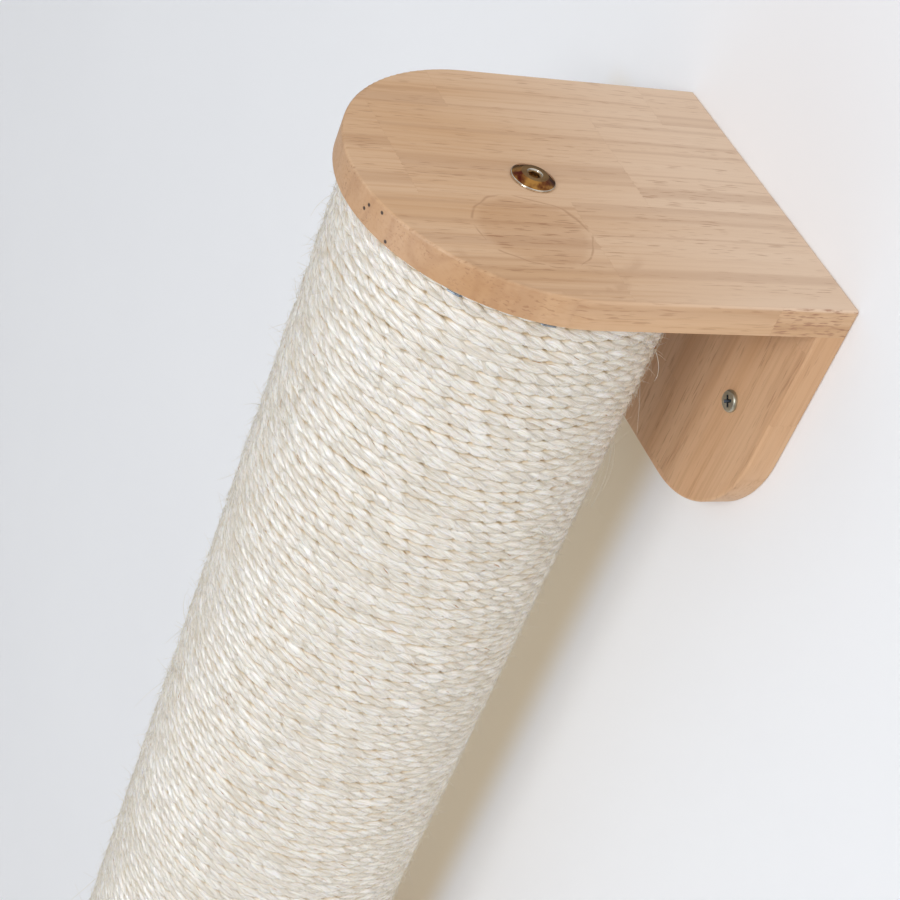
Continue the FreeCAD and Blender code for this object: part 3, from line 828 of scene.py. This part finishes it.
class Tubes:
    """Round tubes along many centre lines, gathered into one mesh."""

    def __init__(self, sides: int) -> None:
        """Start with no tubes."""
        self.sides = sides
        self.points: list[np.ndarray] = []
        self.faces: list[np.ndarray] = []
        self.uv: list[np.ndarray] = []
        self.count = 0

    def add(self, line: np.ndarray, normal: np.ndarray, radius: np.ndarray, start: float = 0.0,
            flat: float = 1.0) -> None:
        """Add one tube with closed ends.

        Args:
            line: Points of the centre line.
            normal: Direction of the first side at each point.
            radius: Radius at each point.
            start: Length already run at the first point, for the surface numbers.
            flat: Share of the radius kept along the normal.
        """
        rings, sides = len(line), self.sides
        way = unit(np.gradient(line, axis=0))
        normal = unit(normal - way * np.sum(normal * way, axis=1, keepdims=True))
        side = np.cross(way, normal)
        turn = 2.0 * np.pi * np.arange(sides) / sides
        ring = (np.cos(turn)[None, :, None] * normal[:, None, :] * flat
                + np.sin(turn)[None, :, None] * side[:, None, :])
        skin = line[:, None, :] + ring * radius[:, None, None]
        run = start + np.concatenate(([0.0], np.cumsum(np.linalg.norm(np.diff(line, axis=0), axis=1))))
        i, j, faces = band_faces(rings, sides)
        low, high = j / sides, (j + 1) / sides
        uv = np.stack((run[i], low, run[i], high, run[i + 1], high, run[i + 1], low), axis=1)
        self.points.append(np.concatenate((skin.reshape(-1, 3), line[:1], line[-1:])))
        self.faces.append(faces + self.count)
        self.uv.append(uv.reshape(-1, 4, 2))
        half = np.arange(0, sides, 2)
        past = (half + 2) % sides
        first, last = rings * sides, rings * sides + 1
        end = (rings - 1) * sides
        caps = [np.stack((np.full_like(half, first), past, half + 1, half), axis=1),
                np.stack((np.full_like(half, last), end + half, end + half + 1, end + past), axis=1)]
        for cap, length in zip(caps, (run[0], run[-1])):
            self.faces.append(cap + self.count)
            self.uv.append(np.tile((length, 0.5), (len(cap), 4, 1)))
        self.count += rings * sides + 2

    def piece(self, name: str, material: bpy.types.Material) -> bpy.types.Object:
        """Make one piece of all the tubes so far."""
        return mesh_piece(name, np.concatenate(self.points), np.concatenate(self.faces), material,
                          np.concatenate(self.uv))


@dataclass(frozen=True)
class Hairs:
    """One kind of short fibre that leaves the winding.

    The length is the middle one, its spread is a power of e, the lift is the share of the fibre's direction
    that points outward, least and greatest, and the radius is the root's.
    """

    name: str
    count: int
    length: float
    spread: float
    lift: Span
    radius: float


@dataclass(frozen=True)
class LooseFibre:
    """One long fibre that has worked loose: where it starts, how far it falls and how far off it strays."""

    degrees: float
    height: float
    fall: float
    stray: float


@dataclass
class SisalWinding:
    """Three-strand sisal rope wound in level turns round the tube, with its wisps and staples.

    A stray is a sum of slow random series, each given by its size and its spacing in rings. Strands and
    hairs start far apart on their surface numbers, so that no two look alike.
    """

    turns: int = 115
    lay: float = 22.2 * MM
    strands: int = 3
    strand_radius: float = 1.80 * MM
    strand_flat: float = 0.95
    strand_apart: float = 20.0
    lay_radius: float = 0.80 * MM
    squeeze: float = 1.8
    proud: float = 0.1 * MM
    ring_gap: float = 1.7 * MM
    sides: int = 8
    parts: int = 7
    step_from: float = math.radians(45.0)
    step_to: float = math.radians(135.0)
    outward_stray: tuple[tuple[float, int], ...] = ((0.08 * MM, 25),)
    level_stray: tuple[tuple[float, int], ...] = ((0.15 * MM, 18),)
    twist_stray: tuple[tuple[float, int], ...] = ((0.8, 60), (0.35, 9))
    thickness_stray: tuple[tuple[float, int], ...] = ((0.08, 4), (0.07, 14))
    hair_kinds: tuple[Hairs, ...] = (
        Hairs("sisal_wisps", 7000, 3.2 * MM, 0.5, (0.12, 0.9), 0.075 * MM),
        Hairs("sisal_lying_fibres", 20000, 4.0 * MM, 0.4, (0.05, 0.2), 0.085 * MM),
        Hairs("sisal_long_hairs", 150, 11.0 * MM, 0.4, (0.15, 0.7), 0.085 * MM),
    )
    hair_sides: int = 4
    hair_knots: int = 5
    hair_root: float = 0.1 * MM
    hair_longest: float = 1.8
    hair_tilt: float = 0.45
    hair_bend: float = 0.30
    hair_sag: float = 0.25
    hair_taper: float = 0.7
    hair_apart: float = 50.0
    plate_gap: float = 0.3 * MM
    loose_fibres: tuple[LooseFibre, ...] = (
        LooseFibre(54.0, 214.0 * MM, 36.0 * MM, 4.5 * MM),
        LooseFibre(56.0, 212.0 * MM, 31.0 * MM, 6.0 * MM),
        LooseFibre(51.0, 206.0 * MM, 26.0 * MM, 3.0 * MM),
        LooseFibre(47.0, 260.0 * MM, 12.0 * MM, 5.0 * MM),
    )
    loose_knots: int = 12
    loose_root: float = 0.3 * MM
    loose_swing: float = 1.9
    loose_hang: float = 1.2
    loose_curl: float = 5.0
    loose_curl_reach: float = 0.5 * MM
    loose_radius: float = 0.15 * MM
    loose_taper: float = 0.5
    seed: int = 17
    staple_angles: tuple[float, ...] = (-43.3, -13.2, 152.0)
    staple_drop: float = 3.9 * MM
    staple_crown: float = 5.2 * MM
    staple_leg: float = 5.5 * MM
    staple_proud: float = 0.15 * MM
    staple_bend: float = 0.8 * MM
    staple_knots: int = 5
    wire_radius: float = 0.36 * MM
    wire_sides: int = 8

    def __post_init__(self) -> None:
        """Take the post's axis and the room for the winding from the frame."""
        low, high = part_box("sisal_rope_wrap")
        tube_low, tube_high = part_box("post_tube")
        self.axis = np.array([(low[0] + high[0]) / 2, (low[1] + high[1]) / 2, 0.0])
        self.outer = (high[0] - low[0]) / 2
        self.half = (self.outer - (tube_high[0] - tube_low[0]) / 2) / 2
        self.radius = self.outer - self.half + self.proud
        self.top = tube_high[2] - self.half
        self.bottom = tube_low[2] + self.half
        self.rng = np.random.default_rng(self.seed)

    def centre(self, angle: np.ndarray) -> np.ndarray:
        """Points on the rope's centre line.

        Args:
            angle: Angle wound since the start, in radians.

        Returns:
            The points, in metres.
        """
        pitch = (self.top - self.bottom) / (self.turns - 1)
        step = self.step_to - self.step_from
        turn = np.floor(angle / (2.0 * np.pi))
        late = angle - turn * 2.0 * np.pi - (2.0 * np.pi - step)
        share = np.clip(late / step, 0.0, 1.0)
        fall = np.where(share < 0.5, 2.0 * share ** 2, 1.0 - 2.0 * (1.0 - share) ** 2)
        around = angle + self.step_to
        points = np.stack((np.cos(around), np.sin(around), np.zeros_like(around)), axis=1) * self.radius
        points[:, 2] = self.top - (turn + fall) * pitch
        return points + self.axis

    def stray(self, rings: int, waves: tuple[tuple[float, int], ...]) -> np.ndarray:
        """Sum of slow random series, one number for each ring."""
        return sum(size * wander(self.rng, rings, spacing) for size, spacing in waves)

    def rope(self, material: bpy.types.Material) -> list[bpy.types.Object]:
        """Lay the strands of the whole winding.

        Args:
            material: Finish of the strands.

        Returns:
            One piece for each stretch of the winding, from the top.
        """
        total = self.turns * 2.0 * math.pi - (self.step_to - self.step_from)
        rings = int(total * self.radius / self.ring_gap)
        angle = np.linspace(0.0, total, rings)
        line = self.centre(angle)
        around = angle + self.step_to
        outward = np.stack((np.cos(around), np.sin(around), np.zeros(rings)), axis=1)
        way = unit(np.gradient(line, axis=0))
        down = np.cross(way, outward)
        line = line + outward * self.stray(rings, self.outward_stray)[:, None]
        line = line + down * self.stray(rings, self.level_stray)[:, None]
        drift = self.stray(rings, self.twist_stray)
        edges = np.linspace(0, rings - 1, self.parts + 1).astype(int)
        tubes = [Tubes(self.sides) for _ in range(self.parts)]
        run = angle * self.radius
        for strand in range(self.strands):
            phase = 2.0 * np.pi * (run / self.lay + strand / self.strands) + drift
            lean = np.cos(phase)[:, None] * outward + np.sin(phase)[:, None] * down * self.squeeze
            path = line + lean * self.lay_radius
            thick = self.strand_radius * (1.0 + self.stray(rings, self.thickness_stray))
            for tube, first, last in zip(tubes, edges[:-1], edges[1:]):
                cut = slice(first, last + 1)
                start = run[first] + strand * self.strand_apart
                tube.add(path[cut], lean[cut], thick[cut], start=start, flat=self.strand_flat)
        return [tube.piece(f"sisal_rope_{i:02d}", material) for i, tube in enumerate(tubes, start=1)]

    def hairs(self, kind: Hairs, material: bpy.types.Material) -> bpy.types.Object:
        """Short fibres that leave the winding.

        Args:
            kind: What the fibres are like.
            material: Finish of the fibres.

        Returns:
            The piece.
        """
        rng = self.rng
        tubes = Tubes(self.hair_sides)
        knots = self.hair_knots
        share = np.linspace(0.0, 1.0, knots)
        taper = kind.radius * (1.0 - self.hair_taper * share)
        skin = self.radius + self.lay_radius + self.strand_radius - self.hair_root
        upward = np.array([0.0, 0.0, 1.0])
        for _ in range(kind.count):
            around = rng.uniform(0.0, 2.0 * math.pi)
            out = np.array([math.cos(around), math.sin(around), 0.0])
            way = np.array([-math.sin(around), math.cos(around), 0.0]) * rng.choice((-1.0, 1.0))
            height = rng.uniform(self.bottom, self.top)
            reach = kind.length * min(math.exp(kind.spread * rng.normal()), self.hair_longest)
            rise = rng.uniform(*kind.lift)
            tilt = rng.normal(0.0, self.hair_tilt)
            bend = rng.normal(0.0, self.hair_bend)
            sag = abs(rng.normal(0.0, self.hair_sag))
            drop_back = reach * reach / (2.0 * self.outer)
            line = (self.axis + out * skin + upward * height
                    + np.outer(share * reach, way + out * rise + upward * tilt)
                    + np.outer(share ** 2 * reach, out * (bend * rise) - upward * sag)
                    - np.outer(share ** 2, out * drop_back * (1.0 - rise)))
            line[:, 2] = np.clip(line[:, 2], self.bottom - self.half, self.top + self.half - self.plate_gap)
            tubes.add(line, np.tile(out, (knots, 1)), taper, start=rng.uniform(0.0, self.hair_apart))
        return tubes.piece(kind.name, material)

    def trailing(self, material: bpy.types.Material) -> bpy.types.Object:
        """A few long fibres that have worked loose and hang beside the post.

        Args:
            material: Finish of the fibres.

        Returns:
            The piece.
        """
        tubes = Tubes(self.hair_sides)
        share = np.linspace(0.0, 1.0, self.loose_knots)
        taper = self.loose_radius * (1.0 - self.loose_taper * share)
        for fibre in self.loose_fibres:
            around = math.radians(fibre.degrees)
            out = np.array([math.cos(around), math.sin(around), 0.0])
            start = self.axis + out * (self.outer - self.loose_root) + np.array([0.0, 0.0, fibre.height])
            line = start + np.outer(np.sin(share * self.loose_swing) * fibre.stray, out)
            line[:, 2] -= share ** self.loose_hang * fibre.fall
            line[:, 0] += np.sin(share * self.loose_curl + fibre.degrees) * self.loose_curl_reach
            tubes.add(line, np.tile(out, (self.loose_knots, 1)), taper, start=fibre.degrees)
        return tubes.piece("sisal_loose_fibres", material)

    def staples(self, material: bpy.types.Material) -> bpy.types.Object:
        """Wire staples that hold the rope's end turns, just under each plate.

        Args:
            material: Finish of the wire.

        Returns:
            One piece with every staple.
        """
        tubes = Tubes(self.wire_sides)
        crown_out = self.outer + self.staple_proud
        bend = self.staple_bend
        reach = self.staple_crown / 2
        half = [(reach, crown_out - self.staple_leg)]
        for lean in np.linspace(0.0, math.pi / 2, self.staple_knots):
            half.append((reach - bend + bend * math.cos(lean), crown_out - bend + bend * math.sin(lean)))
        shape = half + [(-along, far) for along, far in reversed(half)]
        upward = np.tile((0.0, 0.0, 1.0), (len(shape), 1))
        for height in (self.top + self.half - self.staple_drop, self.bottom - self.half + self.staple_drop):
            for degrees in self.staple_angles:
                around = math.radians(degrees)
                out = np.array([math.cos(around), math.sin(around), 0.0])
                way = np.array([-math.sin(around), math.cos(around), 0.0])
                line = np.array([self.axis + way * along + out * far for along, far in shape])
                line[:, 2] = height
                tubes.add(line, upward, np.full(len(line), self.wire_radius))
        return tubes.piece("rope_staples", material)

    def build(self, palette: Palette) -> None:
        """Make the winding, its wisps and its staples and set them in the frame.

        Args:
            palette: The finishes.
        """
        stretches = self.rope(palette.sisal)
        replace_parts(stretches[0], "sisal_rope_turns")
        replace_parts(stretches[-1], "sisal_rope_wrap")
        wisps = [self.hairs(kind, palette.wisp) for kind in self.hair_kinds]
        wisps.append(self.trailing(palette.wisp))
        for piece in stretches + wisps:
            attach(piece, "root")
        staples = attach(self.staples(palette.wire), "root")
        log.info("winding: %d stretches of rope, wisps and staples", len(stretches))


class Turned:
    """Turned piece built ring by ring along its axis; a ring's radius may vary round it."""

    def __init__(self, angles: np.ndarray) -> None:
        """Start with no rings."""
        self.angles = angles
        self.rings: list[np.ndarray] = []

    def ring(self, radius: float | np.ndarray, height: float) -> None:
        """Add a ring.

        Args:
            radius: Radius in metres, one or one for each angle.
            height: Place along the axis in metres.
        """
        radius = np.broadcast_to(np.asarray(radius, dtype=float), self.angles.shape)
        self.rings.append(np.stack((radius * np.cos(self.angles), radius * np.sin(self.angles),
                                    np.full(len(self.angles), height)), axis=1))

    def arrays(self, place: Matrix) -> tuple[np.ndarray, np.ndarray]:
        """Give the points and faces of the piece, set in place.

        Args:
            place: Where the piece's axis and origin go.

        Returns:
            The points and the four corner numbers of each face.
        """
        points = np.concatenate(self.rings)
        faces = band_faces(len(self.rings), len(self.angles))[2]
        turn = np.array(place.to_3x3())
        return points @ turn.T + np.array(place.translation), faces


@dataclass
class WallScrews:
    """The two pan-head wall screws of one bracket, with cross recess and thread.

    The recess narrows towards its floor: spans and widths given as shares are shares of its mouth. The
    turns are those of the two heads, in degrees.
    """

    end: End
    head_radius: float = 4.4 * MM
    frame_height: float = 3.2 * MM
    head_height: float = 1.7 * MM
    rim: float = 0.5 * MM
    flat_share: float = 0.78
    dome_from: float = 0.15
    dome_rings: int = 8
    seat_ease: float = 0.1 * MM
    recess_span: float = 4.8 * MM
    recess_width: float = 1.1 * MM
    recess_depth: float = 1.9 * MM
    recess_point: float = 0.5 * MM
    floor_span: float = 0.5
    floor_width: float = 0.85
    wall_span: float = 0.93
    wall_top: float = 0.25 * MM
    mouth_width: float = 1.2
    mouth_ease: float = 0.03 * MM
    recess_bands: int = 3
    arm_knots: int = 4
    flank_knots: int = 5
    neck_radius: float = 1.7 * MM
    thread_radius: float = 2.25 * MM
    thread_pitch: float = 2.0 * MM
    thread_step: float = 0.25 * MM
    ridge_share: float = 0.22
    core_share: float = 0.85
    tip: float = 5.0 * MM
    turns: Span = (17.0, 42.0)
    crease: float = 32.0

    def angles(self) -> np.ndarray:
        """Angles round the axis that meet every corner of the recess.

        Returns:
            The angles, in radians.
        """
        corner = math.atan(self.recess_width / self.recess_span)
        quarter = np.concatenate((np.linspace(-np.pi / 4, -corner, self.flank_knots),
                                  np.linspace(-corner, corner, self.arm_knots)[1:],
                                  np.linspace(corner, np.pi / 4, self.flank_knots)[1:-1]))
        return np.concatenate([quarter + turn * np.pi / 2 for turn in range(4)])

    def cross(self, angles: np.ndarray, span: float, width: float) -> np.ndarray:
        """Radius of a plus-shaped outline at each angle.

        Args:
            angles: Angles round the axis.
            span: Length over two opposite arms.
            width: Width of an arm.

        Returns:
            The radii.
        """
        lean = np.abs((angles + np.pi / 4) % (np.pi / 2) - np.pi / 4)
        side = width / 2 / np.maximum(np.sin(lean), TINY)
        return np.minimum(span / 2 / np.cos(lean), side)

    def head(self, screw: Turned) -> None:
        """Add the recess, the flat, the rounded edge and the seat of the head.

        Args:
            screw: The screw under way.
        """
        top, span, width = self.head_height, self.recess_span, self.recess_width
        flat = self.head_radius * self.flat_share
        floor = self.cross(screw.angles, span * self.floor_span, width * self.floor_width)
        screw.ring(0.0, top - self.recess_depth - self.recess_point)
        screw.ring(floor, top - self.recess_depth)
        screw.ring(self.cross(screw.angles, span * self.wall_span, width), top - self.wall_top)
        screw.ring(self.cross(screw.angles, span, width * self.mouth_width), top - self.mouth_ease)
        screw.ring(flat, top - 2.0 * self.mouth_ease)
        for lean in np.linspace(self.dome_from, 1.0, self.dome_rings) * np.pi / 2:
            screw.ring(flat + (self.head_radius - flat) * math.sin(lean),
                       self.rim + (top - self.rim) * math.cos(lean))
        screw.ring(self.head_radius - self.seat_ease, 0.0)
        screw.ring(self.neck_radius, 0.0)

    def arrays(self, place: Matrix, neck: float, length: float) -> tuple[np.ndarray, np.ndarray]:
        """Build one screw with its head outward along its axis.

        Args:
            place: Where the head's seat goes.
            neck: Plain length below the head.
            length: Length below the head.

        Returns:
            The points and faces.
        """
        angles = self.angles()
        screw = Turned(angles)
        self.head(screw)
        screw.ring(self.neck_radius, -neck)
        threaded = length - neck
        steps = int(threaded / self.thread_step)
        core = self.neck_radius * self.core_share
        for step in range(steps + 1):
            down = threaded * step / steps
            taper = min(1.0, (threaded - down) / self.tip)
            turn = (down / self.thread_pitch + angles / (2.0 * np.pi)) % 1.0
            ridge = np.clip(1.0 - np.abs(turn - 0.5) / self.ridge_share, 0.0, 1.0)
            screw.ring((core + (self.thread_radius - core) * ridge) * taper, -neck - down)
        return screw.arrays(place)

    def build(self, palette: Palette) -> None:
        """Make both screws as one piece in place of the frame's plain ones.

        Args:
            palette: The finishes.
        """
        node = f"{self.end.value}_wall_screws"
        low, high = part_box(node)
        seat = low[1] + self.frame_height
        points, faces, painted_shade_faces, count = [], [], [], 0
        facing = Matrix.Rotation(math.radians(90.0), 4, "X")
        for turn, x in zip(self.turns, (low[0] + self.head_radius, high[0] - self.head_radius)):
            place = Matrix.Translation((x, seat, (low[2] + high[2]) / 2)) @ facing
            place = place @ Matrix.Rotation(math.radians(turn), 4, "Z")
            skin, quads = self.arrays(place, -seat, high[1] - seat)
            points.append(skin)
            faces.append(quads + count)
            # The recess bands take the dark zinc as painted shade.
            painted_shade_faces.append(np.arange(len(quads)) < self.recess_bands * len(self.angles()))
            count += len(skin)
        piece = mesh_piece(f"{node}_threaded", np.concatenate(points), np.concatenate(faces),
                           palette.grey_zinc, crease=self.crease,
                           others=((palette.recess, np.concatenate(painted_shade_faces)),))
        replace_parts(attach(piece, "root"), node)
        log.info("%s: two threaded screws", node)


@dataclass
class ConnectorBolt:
    """The low-head connector bolt on the post's axis at one end.

    Bands of faces are counted from the floor of the socket outward.
    """

    end: End
    head_radius: float = 8.5 * MM
    head_height: float = 2.4 * MM
    rim: float = 0.7 * MM
    rim_round: float = 0.35 * MM
    rim_sink: float = 0.25 * MM
    rim_rings: int = 5
    cone_foot: float = 0.12 * MM
    flat_radius: float = 5.2 * MM
    flat_ease: float = 0.06 * MM
    ease: float = 0.1 * MM
    mouth_radius: float = 2.9 * MM
    mouth_round: float = 0.15 * MM
    mouth_bevel: float = 0.25 * MM
    mouth_depth: float = 0.5 * MM
    socket_flats: float = 4.0 * MM
    socket_depth: float = 2.0 * MM
    socket_top: float = 0.65 * MM
    socket_point: float = 0.4 * MM
    socket_draft: float = 0.98
    shank_radius: float = 3.0 * MM
    tip_bevel: float = 0.6 * MM
    segments: int = 96
    cone_bands: tuple[int, ...] = (6, 7)
    bright_bands: tuple[int, ...] = (3, 4, 8, 9, 10, 11, 12, 13)
    turn: float = 20.0
    crease: float = 24.0

    def arrays(self, place: Matrix, length: float) -> tuple[np.ndarray, np.ndarray]:
        """Build the bolt with its head outward along its axis.

        Args:
            place: Where the head's seat goes.
            length: Length below the head.

        Returns:
            The points and faces.
        """
        angles = np.arange(self.segments) * 2.0 * np.pi / self.segments
        sixth = np.pi / 3
        hexagon = self.socket_flats / 2 / np.cos((angles + sixth / 2) % sixth - sixth / 2)
        top = self.head_height
        edge = self.head_radius - self.rim_round
        bolt = Turned(angles)
        bolt.ring(0.0, top - self.socket_depth - self.socket_point)
        bolt.ring(hexagon * self.socket_draft, top - self.socket_depth)
        bolt.ring(hexagon, top - self.socket_top)
        bolt.ring(self.mouth_radius - self.mouth_bevel, top - self.mouth_depth)
        bolt.ring(self.mouth_radius, top - self.ease)
        bolt.ring(self.mouth_radius + self.mouth_round, top)
        bolt.ring(self.flat_radius - self.ease, top)
        bolt.ring(self.flat_radius + self.ease, top - self.flat_ease)
        bolt.ring(edge, self.rim + self.cone_foot)
        for lean in np.linspace(0.0, np.pi / 2, self.rim_rings):
            bolt.ring(edge + self.rim_round * math.sin(lean),
                      self.rim - self.rim_sink + self.rim_round * math.cos(lean))
        bolt.ring(self.head_radius, self.ease)
        bolt.ring(self.head_radius - self.ease, 0.0)
        bolt.ring(self.shank_radius, 0.0)
        bolt.ring(self.shank_radius, self.tip_bevel - length)
        bolt.ring(self.shank_radius - self.tip_bevel, -length)
        bolt.ring(0.0, -length)
        return bolt.arrays(place)

    def build(self, palette: Palette) -> None:
        """Make the bolt in place of the frame's plain one.

        Args:
            palette: The finishes.
        """
        node = f"{self.end.value}_connector_bolt"
        low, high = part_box(node)
        up = self.end is End.UPPER
        seat = high[2] - self.head_height if up else low[2] + self.head_height
        place = Matrix.Translation(((low[0] + high[0]) / 2, (low[1] + high[1]) / 2, seat))
        if not up:
            place = place @ Matrix.Rotation(math.pi, 4, "Y")
        place = place @ Matrix.Rotation(math.radians(self.turn), 4, "Z")
        points, faces = self.arrays(place, high[2] - low[2] - self.head_height)
        band = np.arange(len(faces)) // self.segments
        # Cone bands take the polished zinc whose maroon tint is partly a painted dark reflection.
        others = ((palette.polished_and_painted_reflection, np.isin(band, self.cone_bands)),
                  (palette.bright, np.isin(band, self.bright_bands)))
        piece = mesh_piece(f"{node}_turned", points, faces, palette.yellow_zinc, crease=self.crease,
                           others=others)
        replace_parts(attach(piece, "root"), node)
        log.info("%s: head with hexagon socket", node)


@dataclass
class Bracket:
    """One rubberwood bracket with its hardware, at one end of the post."""

    end: End
    board: bpy.types.Material
    back: bpy.types.Material

    def build(self, palette: Palette) -> None:
        """Dress the bracket's frame nodes and build its hardware.

        Args:
            palette: The finishes.
        """
        plate = "top_plate" if self.end is End.UPPER else "base_plate"
        finishes = {
            plate: self.board,
            "back_plate": self.back,
            "dowels": palette.beech,
            "insert_nut": palette.grey_zinc,
            "end_disc": palette.plywood,
            "disc_brads": palette.wire,
        }
        for name, material in finishes.items():
            dress(f"{self.end.value}_{name}", material)
        WallScrews(self.end).build(palette)
        ConnectorBolt(self.end).build(palette)


def dress(node: str, material: bpy.types.Material) -> None:
    """Give a frame node its finish.

    Args:
        node: Name of the node.
        material: The finish.
    """
    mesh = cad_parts[node].data
    mesh.materials.clear()
    mesh.materials.append(material)
    log.info("%s: dressed as %s", node, material.name)


@dataclass(frozen=True)
class Lamp:
    """A round soft lamp turned to the post."""

    name: str
    place: Place
    size: float
    power: float
    gloss_only: bool = False

    def build(self, aim: Place) -> None:
        """Set the lamp.

        Args:
            aim: Point the lamp is turned to, in metres.
        """
        lamp = bpy.data.lights.new(self.name, "AREA")
        lamp.shape = "DISK"
        lamp.size = self.size
        lamp.energy = self.power
        stand = bpy.data.objects.new(self.name, lamp)
        turn = (Vector(aim) - Vector(self.place)).to_track_quat("-Z", "Y").to_matrix().to_4x4()
        stand.matrix_world = Matrix.Translation(self.place) @ turn
        stand.visible_diffuse = not self.gloss_only
        bpy.context.scene.collection.objects.link(stand)


@dataclass
class Studio:
    """Pale wall and floor, soft light and the camera of the picture, whose eye is in millimetres.

    The sky is brighter and warmer on the wall's side, where no light comes back from the wall, and
    shiny pieces mirror a darker room than the one that lights them.
    """

    wall_gap: float = 0.8 * MM
    reach: float = 4.0
    floor_level: float = -0.80
    eye: Place = (542.443, -476.216, 660.735)
    forward: Place = (-0.65657318, 0.46680701, -0.59245495)
    right: Place = (0.34713018, 0.88435891, 0.31210571)
    lens: float = 84.409
    sensor: float = 36.0
    near_clip: float = 0.05
    sky_strength: float = 0.62
    sky_low: Tint = (0.84, 0.85, 0.88, 1.0)
    sky_high: Tint = (1.0, 1.0, 1.0, 1.0)
    sky_rise: Span = (-0.3, 0.7)
    side_light: Tint = (2.0, 1.9, 1.78, 1.0)
    side_rise: Span = (0.05, 0.5)
    back_light: Tint = (0.95, 0.76, 0.54, 1.0)
    back_rise: Span = (0.6, 0.95)
    room_low: Tint = (0.12, 0.10, 0.09, 1.0)
    room_high: Tint = (1.2, 1.2, 1.2, 1.0)
    room_rise: Span = (0.0, 0.8)
    aim: Place = (0.0, -0.1, 0.15)
    lamps: tuple[Lamp, ...] = (
        Lamp("key", (1.0, -1.85, 1.1), 0.9, 20.5),
        Lamp("fill", (1.9, 0.5, 0.3), 1.4, 3.0),
        Lamp("glint", (-0.1, -2.3, -0.25), 0.6, 22.0, gloss_only=True),
    )

    def plane(self, name: str, corners: tuple[Place, ...],
              material: bpy.types.Material) -> bpy.types.Object:
        """Make a flat stage piece.

        Args:
            name: Name of the piece.
            corners: Its four corners, turning left as seen from the side that it faces.
            material: Finish of the piece.

        Returns:
            The piece.
        """
        piece = mesh_piece(name, np.array(corners), np.array([[0, 1, 2, 3]]), material)
        return piece

    def surroundings(self, palette: Palette) -> None:
        """Set the wall and the floor.

        Args:
            palette: The finishes.
        """
        far, low, high = self.reach, self.floor_level, self.floor_level + self.reach
        back = self.wall_gap
        upright = ((-far, back, low), (far, back, low), (far, back, high), (-far, back, high))
        wall = self.plane("wall", upright, palette.wall)
        for ray in ("visible_diffuse", "visible_glossy", "visible_transmission", "visible_shadow"):
            setattr(wall, ray, False)
        level = ((-far, -far, low), (far, -far, low), (far, far, low), (-far, far, low))
        self.plane("floor", level, palette.floor)

    def light(self) -> None:
        """Set the soft sky and the wide lamps."""
        world = bpy.data.worlds.new("studio_sky")
        bpy.context.scene.world = world
        world.use_nodes = True
        g = Graph(world.node_tree)
        _, away, height = g.node("SeparateXYZ", {0: g.node("TexCoord").outputs["Generated"]}).outputs
        sky = g.mix(g.step(height, *self.sky_rise), self.sky_low, self.sky_high)
        sky = g.mix(g.step(away, *self.side_rise), sky, self.side_light)
        sky = g.mix(g.step(away, *self.back_rise), sky, self.back_light)
        room = g.mix(g.step(height, *self.room_rise), self.room_low, self.room_high)
        seen = g.mix(g.node("LightPath").outputs["Is Glossy Ray"], sky, room)
        shine = g.node("Background", {"Color": seen, "Strength": self.sky_strength})
        output = g.node("OutputWorld", {"Surface": shine.outputs[0]})
        output.is_active_output = True
        for lamp in self.lamps:
            lamp.build(self.aim)

    def camera(self) -> None:
        """Set the camera at the place and roll read off the picture."""
        lens = bpy.data.cameras.new("picture")
        lens.lens = self.lens
        lens.sensor_width = self.sensor
        lens.dof.use_dof = False
        lens.clip_start = self.near_clip
        forward, right = Vector(self.forward).normalized(), Vector(self.right)
        right = (right - forward * right.dot(forward)).normalized()
        turn = Matrix((right, right.cross(forward), -forward)).transposed().to_4x4()
        camera = bpy.data.objects.new("picture", lens)
        camera.matrix_world = Matrix.Translation(Vector(self.eye) * MM) @ turn
        bpy.context.scene.collection.objects.link(camera)
        bpy.context.scene.camera = camera

    def build(self, palette: Palette) -> None:
        """Set the whole studio.

        Args:
            palette: The finishes.
        """
        self.surroundings(palette)
        self.light()
        self.camera()
        bpy.context.scene.view_settings.view_transform = "Standard"
        log.info("studio: wall, floor, sky, lamps and camera")


def main() -> None:
    """Build every sub-assembly, dress it and set the studio."""
    logging.basicConfig(level=logging.INFO, format="%(name)s %(message)s")
    palette = Palette.mixed()
    Bracket(End.UPPER, palette.top_board, palette.upper_back).build(palette)
    Bracket(End.LOWER, palette.base_board, palette.lower_back).build(palette)
    dress("post_tube", palette.kraft)
    SisalWinding().build(palette)
    Studio().build(palette)


if __name__ == "__main__":
    main()
